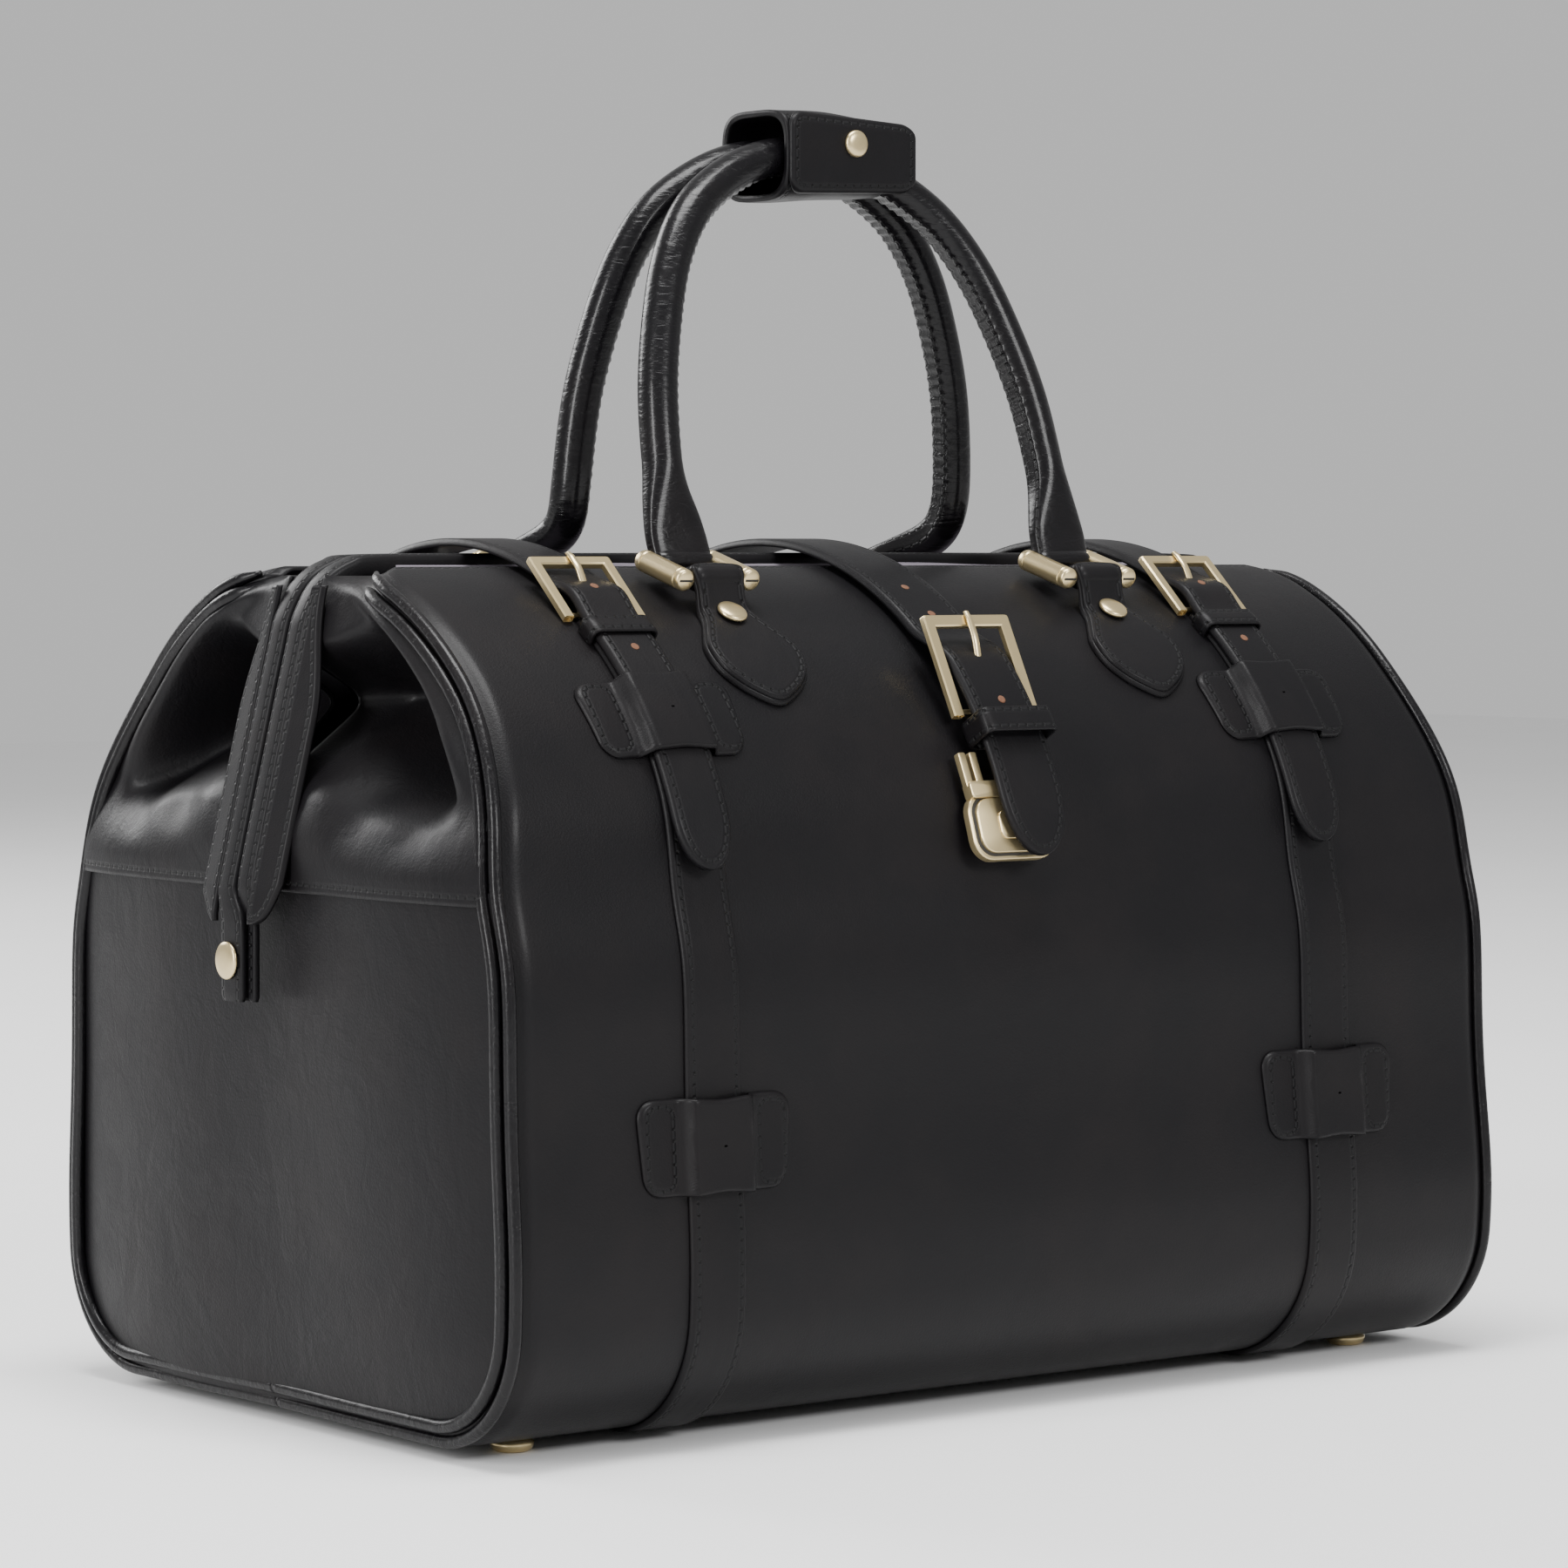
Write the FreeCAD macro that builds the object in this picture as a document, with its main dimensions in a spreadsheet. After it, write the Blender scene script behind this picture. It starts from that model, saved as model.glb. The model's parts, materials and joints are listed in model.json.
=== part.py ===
import FreeCAD, Part
import math
import os
import re

# Doctor bag: a soft leather body with a hinged pair of U-shaped mouth frames, two rolled
# handles on brass rings, two side straps and a centre strap that ends in a lock.
#
# Frame: +X along the bag's length, front towards -Y, +Z up, origin on the ground under the
# middle of the bag. Both mouth frames turn about one line, the hinge line, which runs along X
# through the two rivets. Everything fixed to the shoulders of the bag is laid out in polar
# form about that line: a radius, and an angle counted up from the front (90 is the top, 180
# the back).

SIZES = {
    # body
    "bag_length": 480, "hinge_height": 173, "shell_radius": 150, "hide": 3,
    "foot_height": 5, "bottom_round": 45, "band_drop": 43, "moving_edge": 10, "mouth_edge": 79,
    "panel_gap": 3.5, "seam_rise": 31, "piping_radius": 3, "piping_inset": 1.5,
    "gusset_inset": 21, "gusset_core": 20, "gusset_margin": 5, "board": 3, "board_margin": 8,
    "lining": 1.2, "lining_gap": 2, "lining_drop": 55, "clearance": 0.3, "seat_gap": 0.1,
    # mouth frames
    "rim_drop": 6, "arm_stand_off": 17, "arm_foot_rise": 11, "rim_inset": 15.7,
    "rim_corner": 30, "cover_width": 11, "cover_depth": 11, "steel_width": 6, "steel_depth": 5,
    "frame_gap": 0.5, "lug_radius": 8, "lug": 2.5, "front_lug_out": 3.6, "rear_lug_out": 0.8,
    "rivet_radius": 3, "rivet_head_radius": 7, "rivet_head": 2, "rivet_play": 0.05,
    "steel_foot": -2, "cover_foot": 4, "washer": 1.5,
    # straps and what holds them
    "strap_spread": 150.7, "strap_width": 25, "strap": 3, "chape": 2.2, "strap_tip": 13.7,
    "strap_root": 160, "loop_width": 67, "loop_bridge_side": 4.5, "loop_low": 30.5,
    "loop_high": 43, "loop_hide": 2.4, "loop_side": 0.5, "loop_drop": 62, "loop_length": 33,
    "keeper_low": 51, "keeper_high": 54, "centre_width": 30, "centre_tip": 13.2,
    "centre_step": 49, "centre_lift": 7, "hole_half": 1.9, "side_slot": 20, "centre_slot": 24,
    # buckles
    "side_bar": 57, "side_buckle_length": 30, "side_buckle_play": 1.8, "side_tilt": 9.5,
    "centre_bar": 35.5, "centre_buckle_length": 40, "centre_buckle_play": 2, "centre_tilt": 7,
    "bar_radius": 1, "bar_lift": 0.25, "buckle_side": 4, "buckle_far_side": 5,
    "buckle_rise": 1.5, "prong_width": 3, "axle_radius": 0.55,
    # lock
    "lock_angle": 18, "lock_width": 54, "lock_length": 26, "lock_depth": 6, "lock_plate": 1.2,
    "plate_margin": 3, "lock_corner": 9, "button_width": 30, "button_length": 11,
    "button_travel": 1.5, "button_depth": 2, "button_proud": 0.4, "hasp_low": 24,
    "hasp_high": 29, "hasp_width": 46, "hasp_depth": 5, "hasp_lift": 2.2,
    # handles, rings and their tabs
    "handle_spread": 94.5, "handle_radius": 7.75, "grip_height": 157, "front_lean": 47,
    "rear_lean": 19, "lean_rise": 29, "handle_gap": 9, "shoulder_rise": 102,
    "arch_crown": 66, "arch_drop": 9, "ring_bar_radius": 2.5, "ring_leg_radius": 4.2,
    "ring_leg_gap": 1.3, "ring_angle": 61.35, "ring_lift": 10, "ring_length": 20.6,
    "ring_slope": 16, "roll_radius": 5.5, "roll_half_width": 12.5, "leg_overhang": 3,
    "tab_reach": 22.2, "tab_width": 44, "tab": 4, "tab_rivet_drop": 5.8, "tab_rivet_radius": 5.5,
    "tab_rivet": 1.9, "wrap_length": 65, "wrap_height": 36, "wrap_depth": 43, "wrap_hide": 2,
    "wrap_shift": 16,
    "snap_radius": 5, "snap": 2.5, "snap_rise": 4,
    # feet
    "foot_margin": 33, "foot_radius": 8, "foot_taper": 1.5,
}

# Sizes that follow from others, as expressions on the sheet.
RIM = "(hinge_height + shell_radius - rim_drop)"
ARM_FOOT = "(bag_length / 2 + arm_stand_off)"
RIM_END = "(bag_length / 2 - rim_inset)"
CORNER_Z = "foot_height + bottom_round"
WALL_TOP = "hinge_height - band_drop"
PANEL_HALF = "(bag_length / 2 - panel_gap)"
STRAP_IN = "shell_radius + chape + clearance"
STRAP_OUT = "shell_radius + chape + clearance + strap"
HANDLE_TOP = "(hinge_height + shell_radius + grip_height)"
RING_HALF = "(roll_half_width + ring_leg_gap + ring_leg_radius)"

doc = FreeCAD.newDocument("DoctorBag")
sheet = doc.addObject("Spreadsheet::Sheet", "Sizes")
for row, (alias, value) in enumerate(SIZES.items(), start=1):
    sheet.set(f"A{row}", alias)
    sheet.set(f"B{row}", str(value))
    sheet.setAlias(f"B{row}", alias)
doc.recompute()

X_AXIS = FreeCAD.Vector(1, 0, 0)
Y_AXIS = FreeCAD.Vector(0, 1, 0)
NODES = {}


# ---------------------------------------------------------------- small helpers

def bound(text):
    """An expression on the sheet's names, with the sheet's own name put before each."""
    return re.sub(r"[a-z_]+", lambda m: "Sizes." + m.group() if m.group() in SIZES else m.group(),
                  str(text))


def num(text):
    """The value of such an expression now."""
    return float(sheet.evalExpression(bound(text)))


def new(kind, label=None):
    """A new object, which is a node of the bag when it is given a label."""
    made = doc.addObject(kind, label or "Step")
    if label:
        made.Label = label
        NODES[label] = made
    return made


def bind(made, **sizes):
    for name, text in sizes.items():
        made.setExpression(name.replace("__", "."), bound(text))
    return made


def box(low_x, high_x, low_y, high_y, low_z, high_z, label=None):
    made = new("Part::Box", label)
    return bind(made, Length=f"({high_x}) - ({low_x})", Width=f"({high_y}) - ({low_y})",
                Height=f"({high_z}) - ({low_z})", Placement__Base__x=low_x,
                Placement__Base__y=low_y, Placement__Base__z=low_z)


def cut(base, tool, label=None):
    made = new("Part::Cut", label)
    made.Base = base
    made.Tool = tool
    return made


def join(pieces, label=None):
    made = new("Part::MultiFuse", label)
    made.Shapes = pieces
    return made


def group(pieces, label):
    """Separate like solids in one node."""
    made = new("Part::Compound", label)
    made.Links = pieces
    return made


def cylinder(radius, low_x, high_x, y, z, label=None, start=None, sweep="360"):
    """A cylinder along X, or the slice of one that starts at an angle and sweeps down."""
    made = new("Part::Cylinder", label)
    first = num(start) if start else 0
    made.Placement = FreeCAD.Placement(
        FreeCAD.Vector(), FreeCAD.Rotation(X_AXIS, -90 - first) * FreeCAD.Rotation(Y_AXIS, 90))
    return bind(made, Radius=radius, Height=f"({high_x}) - ({low_x})", Angle=sweep,
                Placement__Base__x=low_x, Placement__Base__y=y, Placement__Base__z=z)


def sector(inner, outer, low, high, low_x, high_x, label=None):
    """A slice of a tube about the hinge line: two radii, two angles and a span along X."""
    whole = cylinder(outer, low_x, high_x, "0", "hinge_height", start=high,
                     sweep=f"({high}) - ({low})")
    bore = cylinder(inner, f"({low_x}) - 1", f"({high_x}) + 1", "0", "hinge_height")
    return cut(whole, bore, label)


def seat(angle, radius, x="0", tilt="0"):
    """The place on the shoulder at an angle and radius: Z outwards, Y along the strap upwards."""
    turn = math.radians(num(angle))
    out = num(radius)
    spot = FreeCAD.Vector(num(x), -out * math.cos(turn), num("hinge_height") + out * math.sin(turn))
    return FreeCAD.Placement(spot, FreeCAD.Rotation(X_AXIS, 90 - num(angle) + num(tilt)))


def seated_box(place, low_x, high_x, low_y, high_y, low_z, high_z, label=None):
    """A box in a seat's own directions."""
    made = new("Part::Box", label)
    bind(made, Length=f"({high_x}) - ({low_x})", Width=f"({high_y}) - ({low_y})",
         Height=f"({high_z}) - ({low_z})")
    corner = FreeCAD.Vector(num(low_x), num(low_y), num(low_z))
    made.Placement = place * FreeCAD.Placement(corner, FreeCAD.Rotation())
    return made


def seated_pin(place, radius, low_z, high_z, label=None):
    """A round stud that stands out of a seat."""
    made = new("Part::Cylinder", label)
    bind(made, Radius=radius, Height=f"({high_z}) - ({low_z})")
    made.Placement = place * FreeCAD.Placement(FreeCAD.Vector(0, 0, num(low_z)), FreeCAD.Rotation())
    return made


def rounded_path(points):
    """Straight runs with tangent arcs, each arc as large as 0.45 of its shorter run allows."""
    points = [FreeCAD.Vector(*p) for p in points]
    edges = []
    last = points[0]
    for before, corner, after in zip(points, points[1:], points[2:]):
        back = (before - corner)
        ahead = (after - corner)
        reach = 0.45 * min(back.Length, ahead.Length)
        back.normalize()
        ahead.normalize()
        start = corner + back * reach
        end = corner + ahead * reach
        half = back.getAngle(ahead) / 2
        middle_way = (back + ahead)
        middle_way.normalize()
        radius = reach * math.tan(half)
        middle = corner + middle_way * (reach / math.cos(half) - radius)
        edges.append(Part.LineSegment(last, start).toShape())
        edges.append(Part.Arc(start, middle, end).toShape())
        last = end
    edges.append(Part.LineSegment(last, points[-1]).toShape())
    return Part.Wire(edges)


def side_name(side):
    return "left" if side < 0 else "right"


def facing(face, low, high):
    """The same pair of angles on the front (face 1) or on the back (face -1)."""
    return (low, high) if face > 0 else (f"180 - ({high})", f"180 - ({low})")


# ---------------------------------------------------------------- body, base and lining

def body_panels():
    """Each panel: a lower L with a large round that meets its twin under the bag, a bending
    band, and the shoulder that moves with its mouth frame."""
    half = PANEL_HALF
    for name, face in (("front", 1), ("rear", -1)):
        wall_out = f"{-face} * shell_radius"
        wall_in = f"{-face} * (shell_radius - hide)"
        low_y, high_y = (wall_out, wall_in) if face > 0 else (wall_in, wall_out)
        wall = box(f"-{half}", half, low_y, high_y, CORNER_Z, WALL_TOP)
        flat_ends = ("-(shell_radius - bottom_round)", "0") if face > 0 else \
            ("0", "shell_radius - bottom_round")
        flat = box(f"-{half}", half, *flat_ends, "foot_height", "foot_height + hide")
        round_out = cylinder("bottom_round", f"-{half}", half,
                             f"{-face} * (shell_radius - bottom_round)", CORNER_Z,
                             start="0" if face > 0 else "-90", sweep="90")
        round_in = cylinder("bottom_round - hide", f"-{half} - 1", f"{half} + 1",
                            f"{-face} * (shell_radius - bottom_round)", CORNER_Z)
        join([wall, cut(round_out, round_in), flat], f"{name}_panel_lower")
        bend = sector("shell_radius - hide", "shell_radius", *facing(face, "0", "moving_edge"),
                      f"-{half}", half)
        upright = box(f"-{half}", half, low_y, high_y, WALL_TOP, "hinge_height")
        join([upright, bend], f"{name}_panel_fold")
        sector("shell_radius - hide", "shell_radius",
               *facing(face, "moving_edge + clearance", "mouth_edge"),
               f"-{half} + 1", f"{half} - 1", f"{name}_panel_upper")
        sector("shell_radius - hide - 2 * lining", "shell_radius - hide - lining",
               *facing(face, "moving_edge + 8", "mouth_edge + 5"),
               f"-{RIM_END} + cover_width", f"{RIM_END} - cover_width",
               f"{name}_mouth_lining")


def gussets():
    """End walls: a flat lower piece up to its cross seam, and four upper quarters that fold in
    beside the frame arms."""
    reach = "shell_radius - hide - clearance"
    for side in (-1, 1):
        inner, outer = "bag_length / 2 - panel_gap + clearance", "bag_length / 2"
        span = (f"-({outer})", f"-({inner})") if side < 0 else (inner, outer)
        low = box(*span, f"-({reach})", reach, CORNER_Z, "hinge_height + seam_rise")
        flat = box(*span, f"-({reach}) + bottom_round", f"{reach} - bottom_round",
                   "foot_height + hide + clearance", CORNER_Z)
        rounds = [cylinder("bottom_round - hide - clearance", *span,
                           f"{way} * (shell_radius - bottom_round)", CORNER_Z)
                  for way in (-1, 1)]
        join([low, flat] + rounds, f"{side_name(side)}_gusset_lower")
        plane = "bag_length / 2 - gusset_inset"
        span = (f"-({plane})", f"-({plane}) + hide") if side < 0 else (f"{plane} - hide", plane)
        for name, face in (("front", 1), ("rear", -1)):
            sector("gusset_core", "shell_radius - gusset_margin",
                   *facing(face, "moving_edge + 2", "mouth_edge + 1"), *span,
                   f"{name}_{side_name(side)}_gusset_upper")


def pipings():
    """Corded edges: upper runs on the shoulders, lower runs round the ends of the body."""
    width = "2 * piping_radius"
    for name, face in (("front", 1), ("rear", -1)):
        runs = []
        for side in (-1, 1):
            outer = f"{PANEL_HALF} - piping_inset"
            span = (f"-({outer})", f"-({outer}) + {width}") if side < 0 else \
                (f"{outer} - {width}", outer)
            runs.append(sector("shell_radius + seat_gap", "shell_radius + piping_radius",
                               *facing(face, "moving_edge + clearance", "mouth_edge - 1"), *span))
        group(runs, f"{name}_piping_upper")
    runs = []
    for side in (-1, 1):
        inner = "bag_length / 2 + seat_gap"
        span = (f"-({inner}) - piping_radius", f"-({inner})") if side < 0 else \
            (inner, f"{inner} + piping_radius")
        pieces = []
        for way in (-1, 1):
            low_y, high_y = ("-shell_radius", "-shell_radius + " + width) if way < 0 else \
                ("shell_radius - " + width, "shell_radius")
            pieces.append(box(*span, low_y, high_y, CORNER_Z, "hinge_height"))
            bend = cylinder("bottom_round", *span, f"{way} * (shell_radius - bottom_round)",
                            CORNER_Z, start="0" if way < 0 else "-90", sweep="90")
            core = cylinder(f"bottom_round - {width}", f"{span[0]} - 1", f"{span[1]} + 1",
                            f"{way} * (shell_radius - bottom_round)", CORNER_Z)
            pieces.append(cut(bend, core))
        pieces.append(box(*span, "-(shell_radius - bottom_round)", "shell_radius - bottom_round",
                          "foot_height", f"foot_height + {width}"))
        runs.append(join(pieces))
    group(runs, "lower_piping")


def base():
    """Stiffening board inside the bottom, the lining over it and four brass studs under it."""
    body = new("PartDesign::Body", "base_board")
    sketch = body.newObject("Sketcher::SketchObject", "BoardOutline")
    plane = [f for f in body.Origin.OriginFeatures if f.Role == "XY_Plane"][0]
    sketch.AttachmentSupport = [(plane, "")]
    sketch.MapMode = "FlatFace"
    half_x = num("bag_length / 2 - panel_gap - board_margin")
    half_y = num("shell_radius - bottom_round - board_margin")
    corners = [FreeCAD.Vector(x, y, 0) for x, y in
               ((-half_x, -half_y), (half_x, -half_y), (half_x, half_y), (-half_x, half_y))]
    for start, end in zip(corners, corners[1:] + corners[:1]):
        sketch.addGeometry(Part.LineSegment(start, end), False)
    pad = body.newObject("PartDesign::Pad", "BoardPad")
    pad.Profile = sketch
    bind(pad, Length="board")
    bind(body, Placement__Base__z="foot_height + hide + clearance")
    low_z = "foot_height + hide + 2 * clearance + board"
    shell = rounded_tray("0", low_z)
    hollow = rounded_tray("lining", f"{low_z} + lining")
    cut(shell, hollow, "body_lining")
    studs = []
    for x in (-1, 1):
        for y in (-1, 1):
            stud = new("Part::Cone")
            bind(stud, Radius1="foot_radius - foot_taper", Radius2="foot_radius",
                 Height="foot_height", Placement__Base__x=f"{x} * (bag_length / 2 - foot_margin)",
                 Placement__Base__y=f"{y} * (shell_radius - bottom_round)")
            studs.append(stud)
    group(studs, "feet")


def rounded_tray(inset, low_z):
    """The block inside the lower body, its two long lower edges round, set in by some amount."""
    half = f"({PANEL_HALF} - lining_gap - ({inset}))"
    depth = f"(shell_radius - hide - lining_gap - ({inset}))"
    top = "hinge_height - lining_drop" + (" + 1" if inset != "0" else "")
    block = box(f"-{half}", half, f"-{depth}", depth, low_z, top)
    trims = []
    for way in (-1, 1):
        span = (f"-{depth} - 1", "-(shell_radius - bottom_round)") if way < 0 else \
            ("shell_radius - bottom_round", f"{depth} + 1")
        corner = box(f"-{half} - 1", f"{half} + 1", *span, f"{low_z} - 1", CORNER_Z)
        barrel = cylinder(f"bottom_round - hide - lining_gap - ({inset})", f"-{half} - 2",
                          f"{half} + 2", f"{way} * (shell_radius - bottom_round)", CORNER_Z)
        trims.append(cut(corner, barrel))
    return cut(block, join(trims))


# ---------------------------------------------------------------- mouth frames

def arch_outline(width, foot):
    """The closed outline of a U bar of one width: feet low on the arms, arms leaning in, rim."""
    lean = math.atan2(num(f"{ARM_FOOT} - {RIM_END}"),
                      num(f"{RIM} - hinge_height - arm_foot_rise"))
    foot_z = num("hinge_height + arm_foot_rise") + foot
    outline = []
    for shift in (width / 2, -width / 2):
        rim = num(RIM) + shift
        corner_x = num(RIM_END) + shift * math.tan((math.pi / 2 - lean) / 2)
        foot_x = corner_x + (rim - foot_z) * math.tan(lean)
        bend = num("rim_corner") + shift
        reach = bend * math.tan((math.pi / 2 - lean) / 2)
        arm = (math.sin(lean), -math.cos(lean))
        turn = FreeCAD.Vector(corner_x - reach, rim - bend, 0)
        mid = math.pi / 2 - (math.pi / 2 - lean) / 2
        outline.append([(foot_x, foot_z), (corner_x + arm[0] * reach, rim + arm[1] * reach),
                        (turn.x + bend * math.cos(mid), turn.y + bend * math.sin(mid)),
                        (corner_x - reach, rim)])
    return outline


def arch_sketch(body, width, foot=0.0):
    """A sketch of the U bar on the body's own XZ plane."""
    sketch = body.newObject("Sketcher::SketchObject", "ArchOutline")
    plane = [f for f in body.Origin.OriginFeatures if f.Role == "XZ_Plane"][0]
    sketch.AttachmentSupport = [(plane, "")]
    sketch.MapMode = "FlatFace"
    outer, inner = arch_outline(width, foot)

    def spot(pair, side):
        return FreeCAD.Vector(side * pair[0], pair[1], 0)

    for line in (outer, inner):
        for side in (-1, 1):
            sketch.addGeometry(Part.LineSegment(spot(line[0], side), spot(line[1], side)), False)
            sketch.addGeometry(Part.Arc(spot(line[1], side), spot(line[2], side),
                                        spot(line[3], side)), False)
        sketch.addGeometry(Part.LineSegment(spot(line[3], -1), spot(line[3], 1)), False)
    for side in (-1, 1):
        sketch.addGeometry(Part.LineSegment(spot(outer[0], side), spot(inner[0], side)), False)
    return sketch


def arch_bar(width, depth, middle, foot=0.0):
    """A U bar padded through the bag's depth about a middle plane."""
    body = new("PartDesign::Body")
    sketch = arch_sketch(body, num(width), foot)
    pad = body.newObject("PartDesign::Pad", "ArchPad")
    pad.Profile = sketch
    bind(pad, Length=depth)
    bind(body, Placement__Base__y=f"{middle} + ({depth}) / 2")
    return body


def mouth_frames():
    """Each frame: a steel bar with two riveted lugs inside a folded leather cover. The front
    frame's lugs lie outside the rear frame's on the rivets."""
    for name, face in (("front", 1), ("rear", -1)):
        middle = f"{-face} * (frame_gap + cover_depth / 2)"
        steel = arch_bar("steel_width", "steel_depth", middle, foot=num("steel_foot"))
        lugs = []
        for side in (-1, 1):
            out = f"{ARM_FOOT} + " + ("front_lug_out" if face > 0 else "rear_lug_out")
            span = (f"-({out})", f"-({out}) + lug") if side < 0 else (f"{out} - lug", out)
            lug = cylinder("lug_radius", *span, "0", "hinge_height")
            low_y, high_y = ("-lug_radius", "-frame_gap") if face > 0 else \
                ("frame_gap", "lug_radius")
            neck = box(*span, low_y, high_y, "hinge_height", "hinge_height + arm_foot_rise + 2")
            bore = cylinder("rivet_radius + rivet_play", f"{span[0]} - 1", f"{span[1]} + 1",
                            "0", "hinge_height")
            lugs.append(cut(join([lug, neck]), bore))
        join([steel] + lugs, f"{name}_frame_steel")
        cover = arch_bar("cover_width", "cover_depth", middle, foot=num("cover_foot"))
        core = arch_bar("steel_width + 2 * rivet_play", "steel_depth + 2 * rivet_play", middle)
        cut(cover, core, f"{name}_frame_cover")


def hinge_rivets():
    rivets = []
    for side in (-1, 1):
        inner = "bag_length / 2"
        outer = f"{ARM_FOOT} + front_lug_out + clearance"
        span = (f"-({outer}) - rivet_head", f"-({inner})") if side < 0 else \
            (inner, f"{outer} + rivet_head")
        shaft = cylinder("rivet_radius", *span, "0", "hinge_height")
        head_span = (f"-({outer}) - rivet_head", f"-({outer})") if side < 0 else \
            (outer, f"{outer} + rivet_head")
        head = cylinder("rivet_head_radius", *head_span, "0", "hinge_height")
        washer_out = f"{ARM_FOOT} + rear_lug_out - lug - clearance"
        washer_span = (f"-({washer_out})", f"-({washer_out}) + washer") if side < 0 else \
            (f"{washer_out} - washer", washer_out)
        washer = cylinder("rivet_head_radius", *washer_span, "0", "hinge_height")
        rivets.append(join([shaft, head, washer]))
    group(rivets, "hinge_rivets")


# ---------------------------------------------------------------- straps, loops and keepers

def side_straps():
    """Straps sewn to the back that lie over the mouth, with chapes, loops and keepers."""
    half = "strap_width / 2"
    loops, keepers = [], []
    for side in (-1, 1):
        mid = f"{side} * strap_spread"
        name = side_name(side)
        band = sector(STRAP_IN, STRAP_OUT, "strap_tip", "strap_root", f"{mid} - {half}",
                      f"{mid} + {half}")
        hole = seated_box(seat("side_bar", "shell_radius", mid),
                          "-hole_half", "hole_half", "-0.5", "side_slot", "chape / 2",
                          "chape + 2 * strap")
        cut(band, hole, f"{name}_strap")
        sector("shell_radius + seat_gap", "shell_radius + chape", "moving_edge + clearance",
               "side_bar - 1.2", f"{mid} - {half}", f"{mid} + {half}", f"{name}_chape")
        gap = f"{half} + loop_side"
        plate = sector("shell_radius + seat_gap", "shell_radius + loop_hide", "loop_low",
                       "loop_high", f"{mid} - loop_width / 2", f"{mid} + loop_width / 2")
        cover = f"{STRAP_OUT} + clearance + loop_hide"
        bridge = sector("shell_radius + seat_gap", cover, "loop_low", "loop_high", f"{mid} - {half} - loop_bridge_side",
                        f"{mid} + {half} + loop_bridge_side")
        tunnel = sector("shell_radius - 1", f"{STRAP_OUT} + clearance", "loop_low - 2",
                        "loop_high + 2", f"{mid} - ({gap})", f"{mid} + ({gap})")
        loops.append(cut(join([plate, bridge]), tunnel))
        keeper = sector("shell_radius + seat_gap", cover, "keeper_low", "keeper_high",
                        f"{mid} - ({gap}) - loop_hide", f"{mid} + ({gap}) + loop_hide")
        throat = sector("shell_radius - 1", f"{STRAP_OUT} + clearance", "keeper_low - 2",
                        "keeper_high + 2", f"{mid} - ({gap})", f"{mid} + ({gap})")
        keepers.append(cut(keeper, throat))
    group(loops, "upper_loops")
    group(keepers, "side_keepers")


def lower_straps():
    """Stitched straps from the walls under the bottom, each in a wide loop on the front."""
    half = "strap_width / 2"
    loops = []
    for side in (-1, 1):
        mid = f"{side} * strap_spread"
        span = (f"{mid} - {half}", f"{mid} + {half}")
        pieces = []
        for way in (-1, 1):
            out = f"{way} * (shell_radius + chape)"
            near = f"{way} * (shell_radius + seat_gap)"
            pieces.append(box(*span, *((out, near) if way < 0 else (near, out)), CORNER_Z,
                              WALL_TOP))
            bend = cylinder("bottom_round + chape", *span,
                            f"{way} * (shell_radius - bottom_round)", CORNER_Z,
                            start="0" if way < 0 else "-90", sweep="90")
            core = cylinder("bottom_round + seat_gap", f"{span[0]} - 1", f"{span[1]} + 1",
                            f"{way} * (shell_radius - bottom_round)", CORNER_Z)
            pieces.append(cut(bend, core))
        pieces.append(box(*span, "-(shell_radius - bottom_round)", "shell_radius - bottom_round",
                          "foot_height - chape", "foot_height - seat_gap"))
        join(pieces, f"{side_name(side)}_lower_strap")
        low_z, high_z = "hinge_height - loop_drop - loop_length / 2", \
            "hinge_height - loop_drop + loop_length / 2"
        near = "-(shell_radius + seat_gap)"
        plate = box(f"{mid} - loop_width / 2", f"{mid} + loop_width / 2",
                    "-(shell_radius + loop_hide)", near, low_z, high_z)
        bridge = box(f"{mid} - {half} - loop_bridge_side", f"{mid} + {half} + loop_bridge_side",
                     "-(shell_radius + chape + clearance + loop_hide)", near, low_z, high_z)
        tunnel = box(f"{mid} - {half} - loop_side", f"{mid} + {half} + loop_side",
                     "-(shell_radius + chape + clearance)", "-shell_radius + 1",
                     f"{low_z} - 1", f"{high_z} + 1")
        loops.append(cut(join([plate, bridge]), tunnel))
    group(loops, "lower_loops")


def rear_strap_ends():
    """Where the side straps are sewn down on the back shoulder."""
    half = "strap_width / 2"
    ends = []
    for side in (-1, 1):
        mid = f"{side} * strap_spread"
        ends.append(sector("shell_radius + seat_gap", "shell_radius + chape",
                           "180 - mouth_edge + 4", "180 - moving_edge - clearance",
                           f"{mid} - {half}", f"{mid} + {half}"))
    group(ends, "rear_strap_ends")


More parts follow.
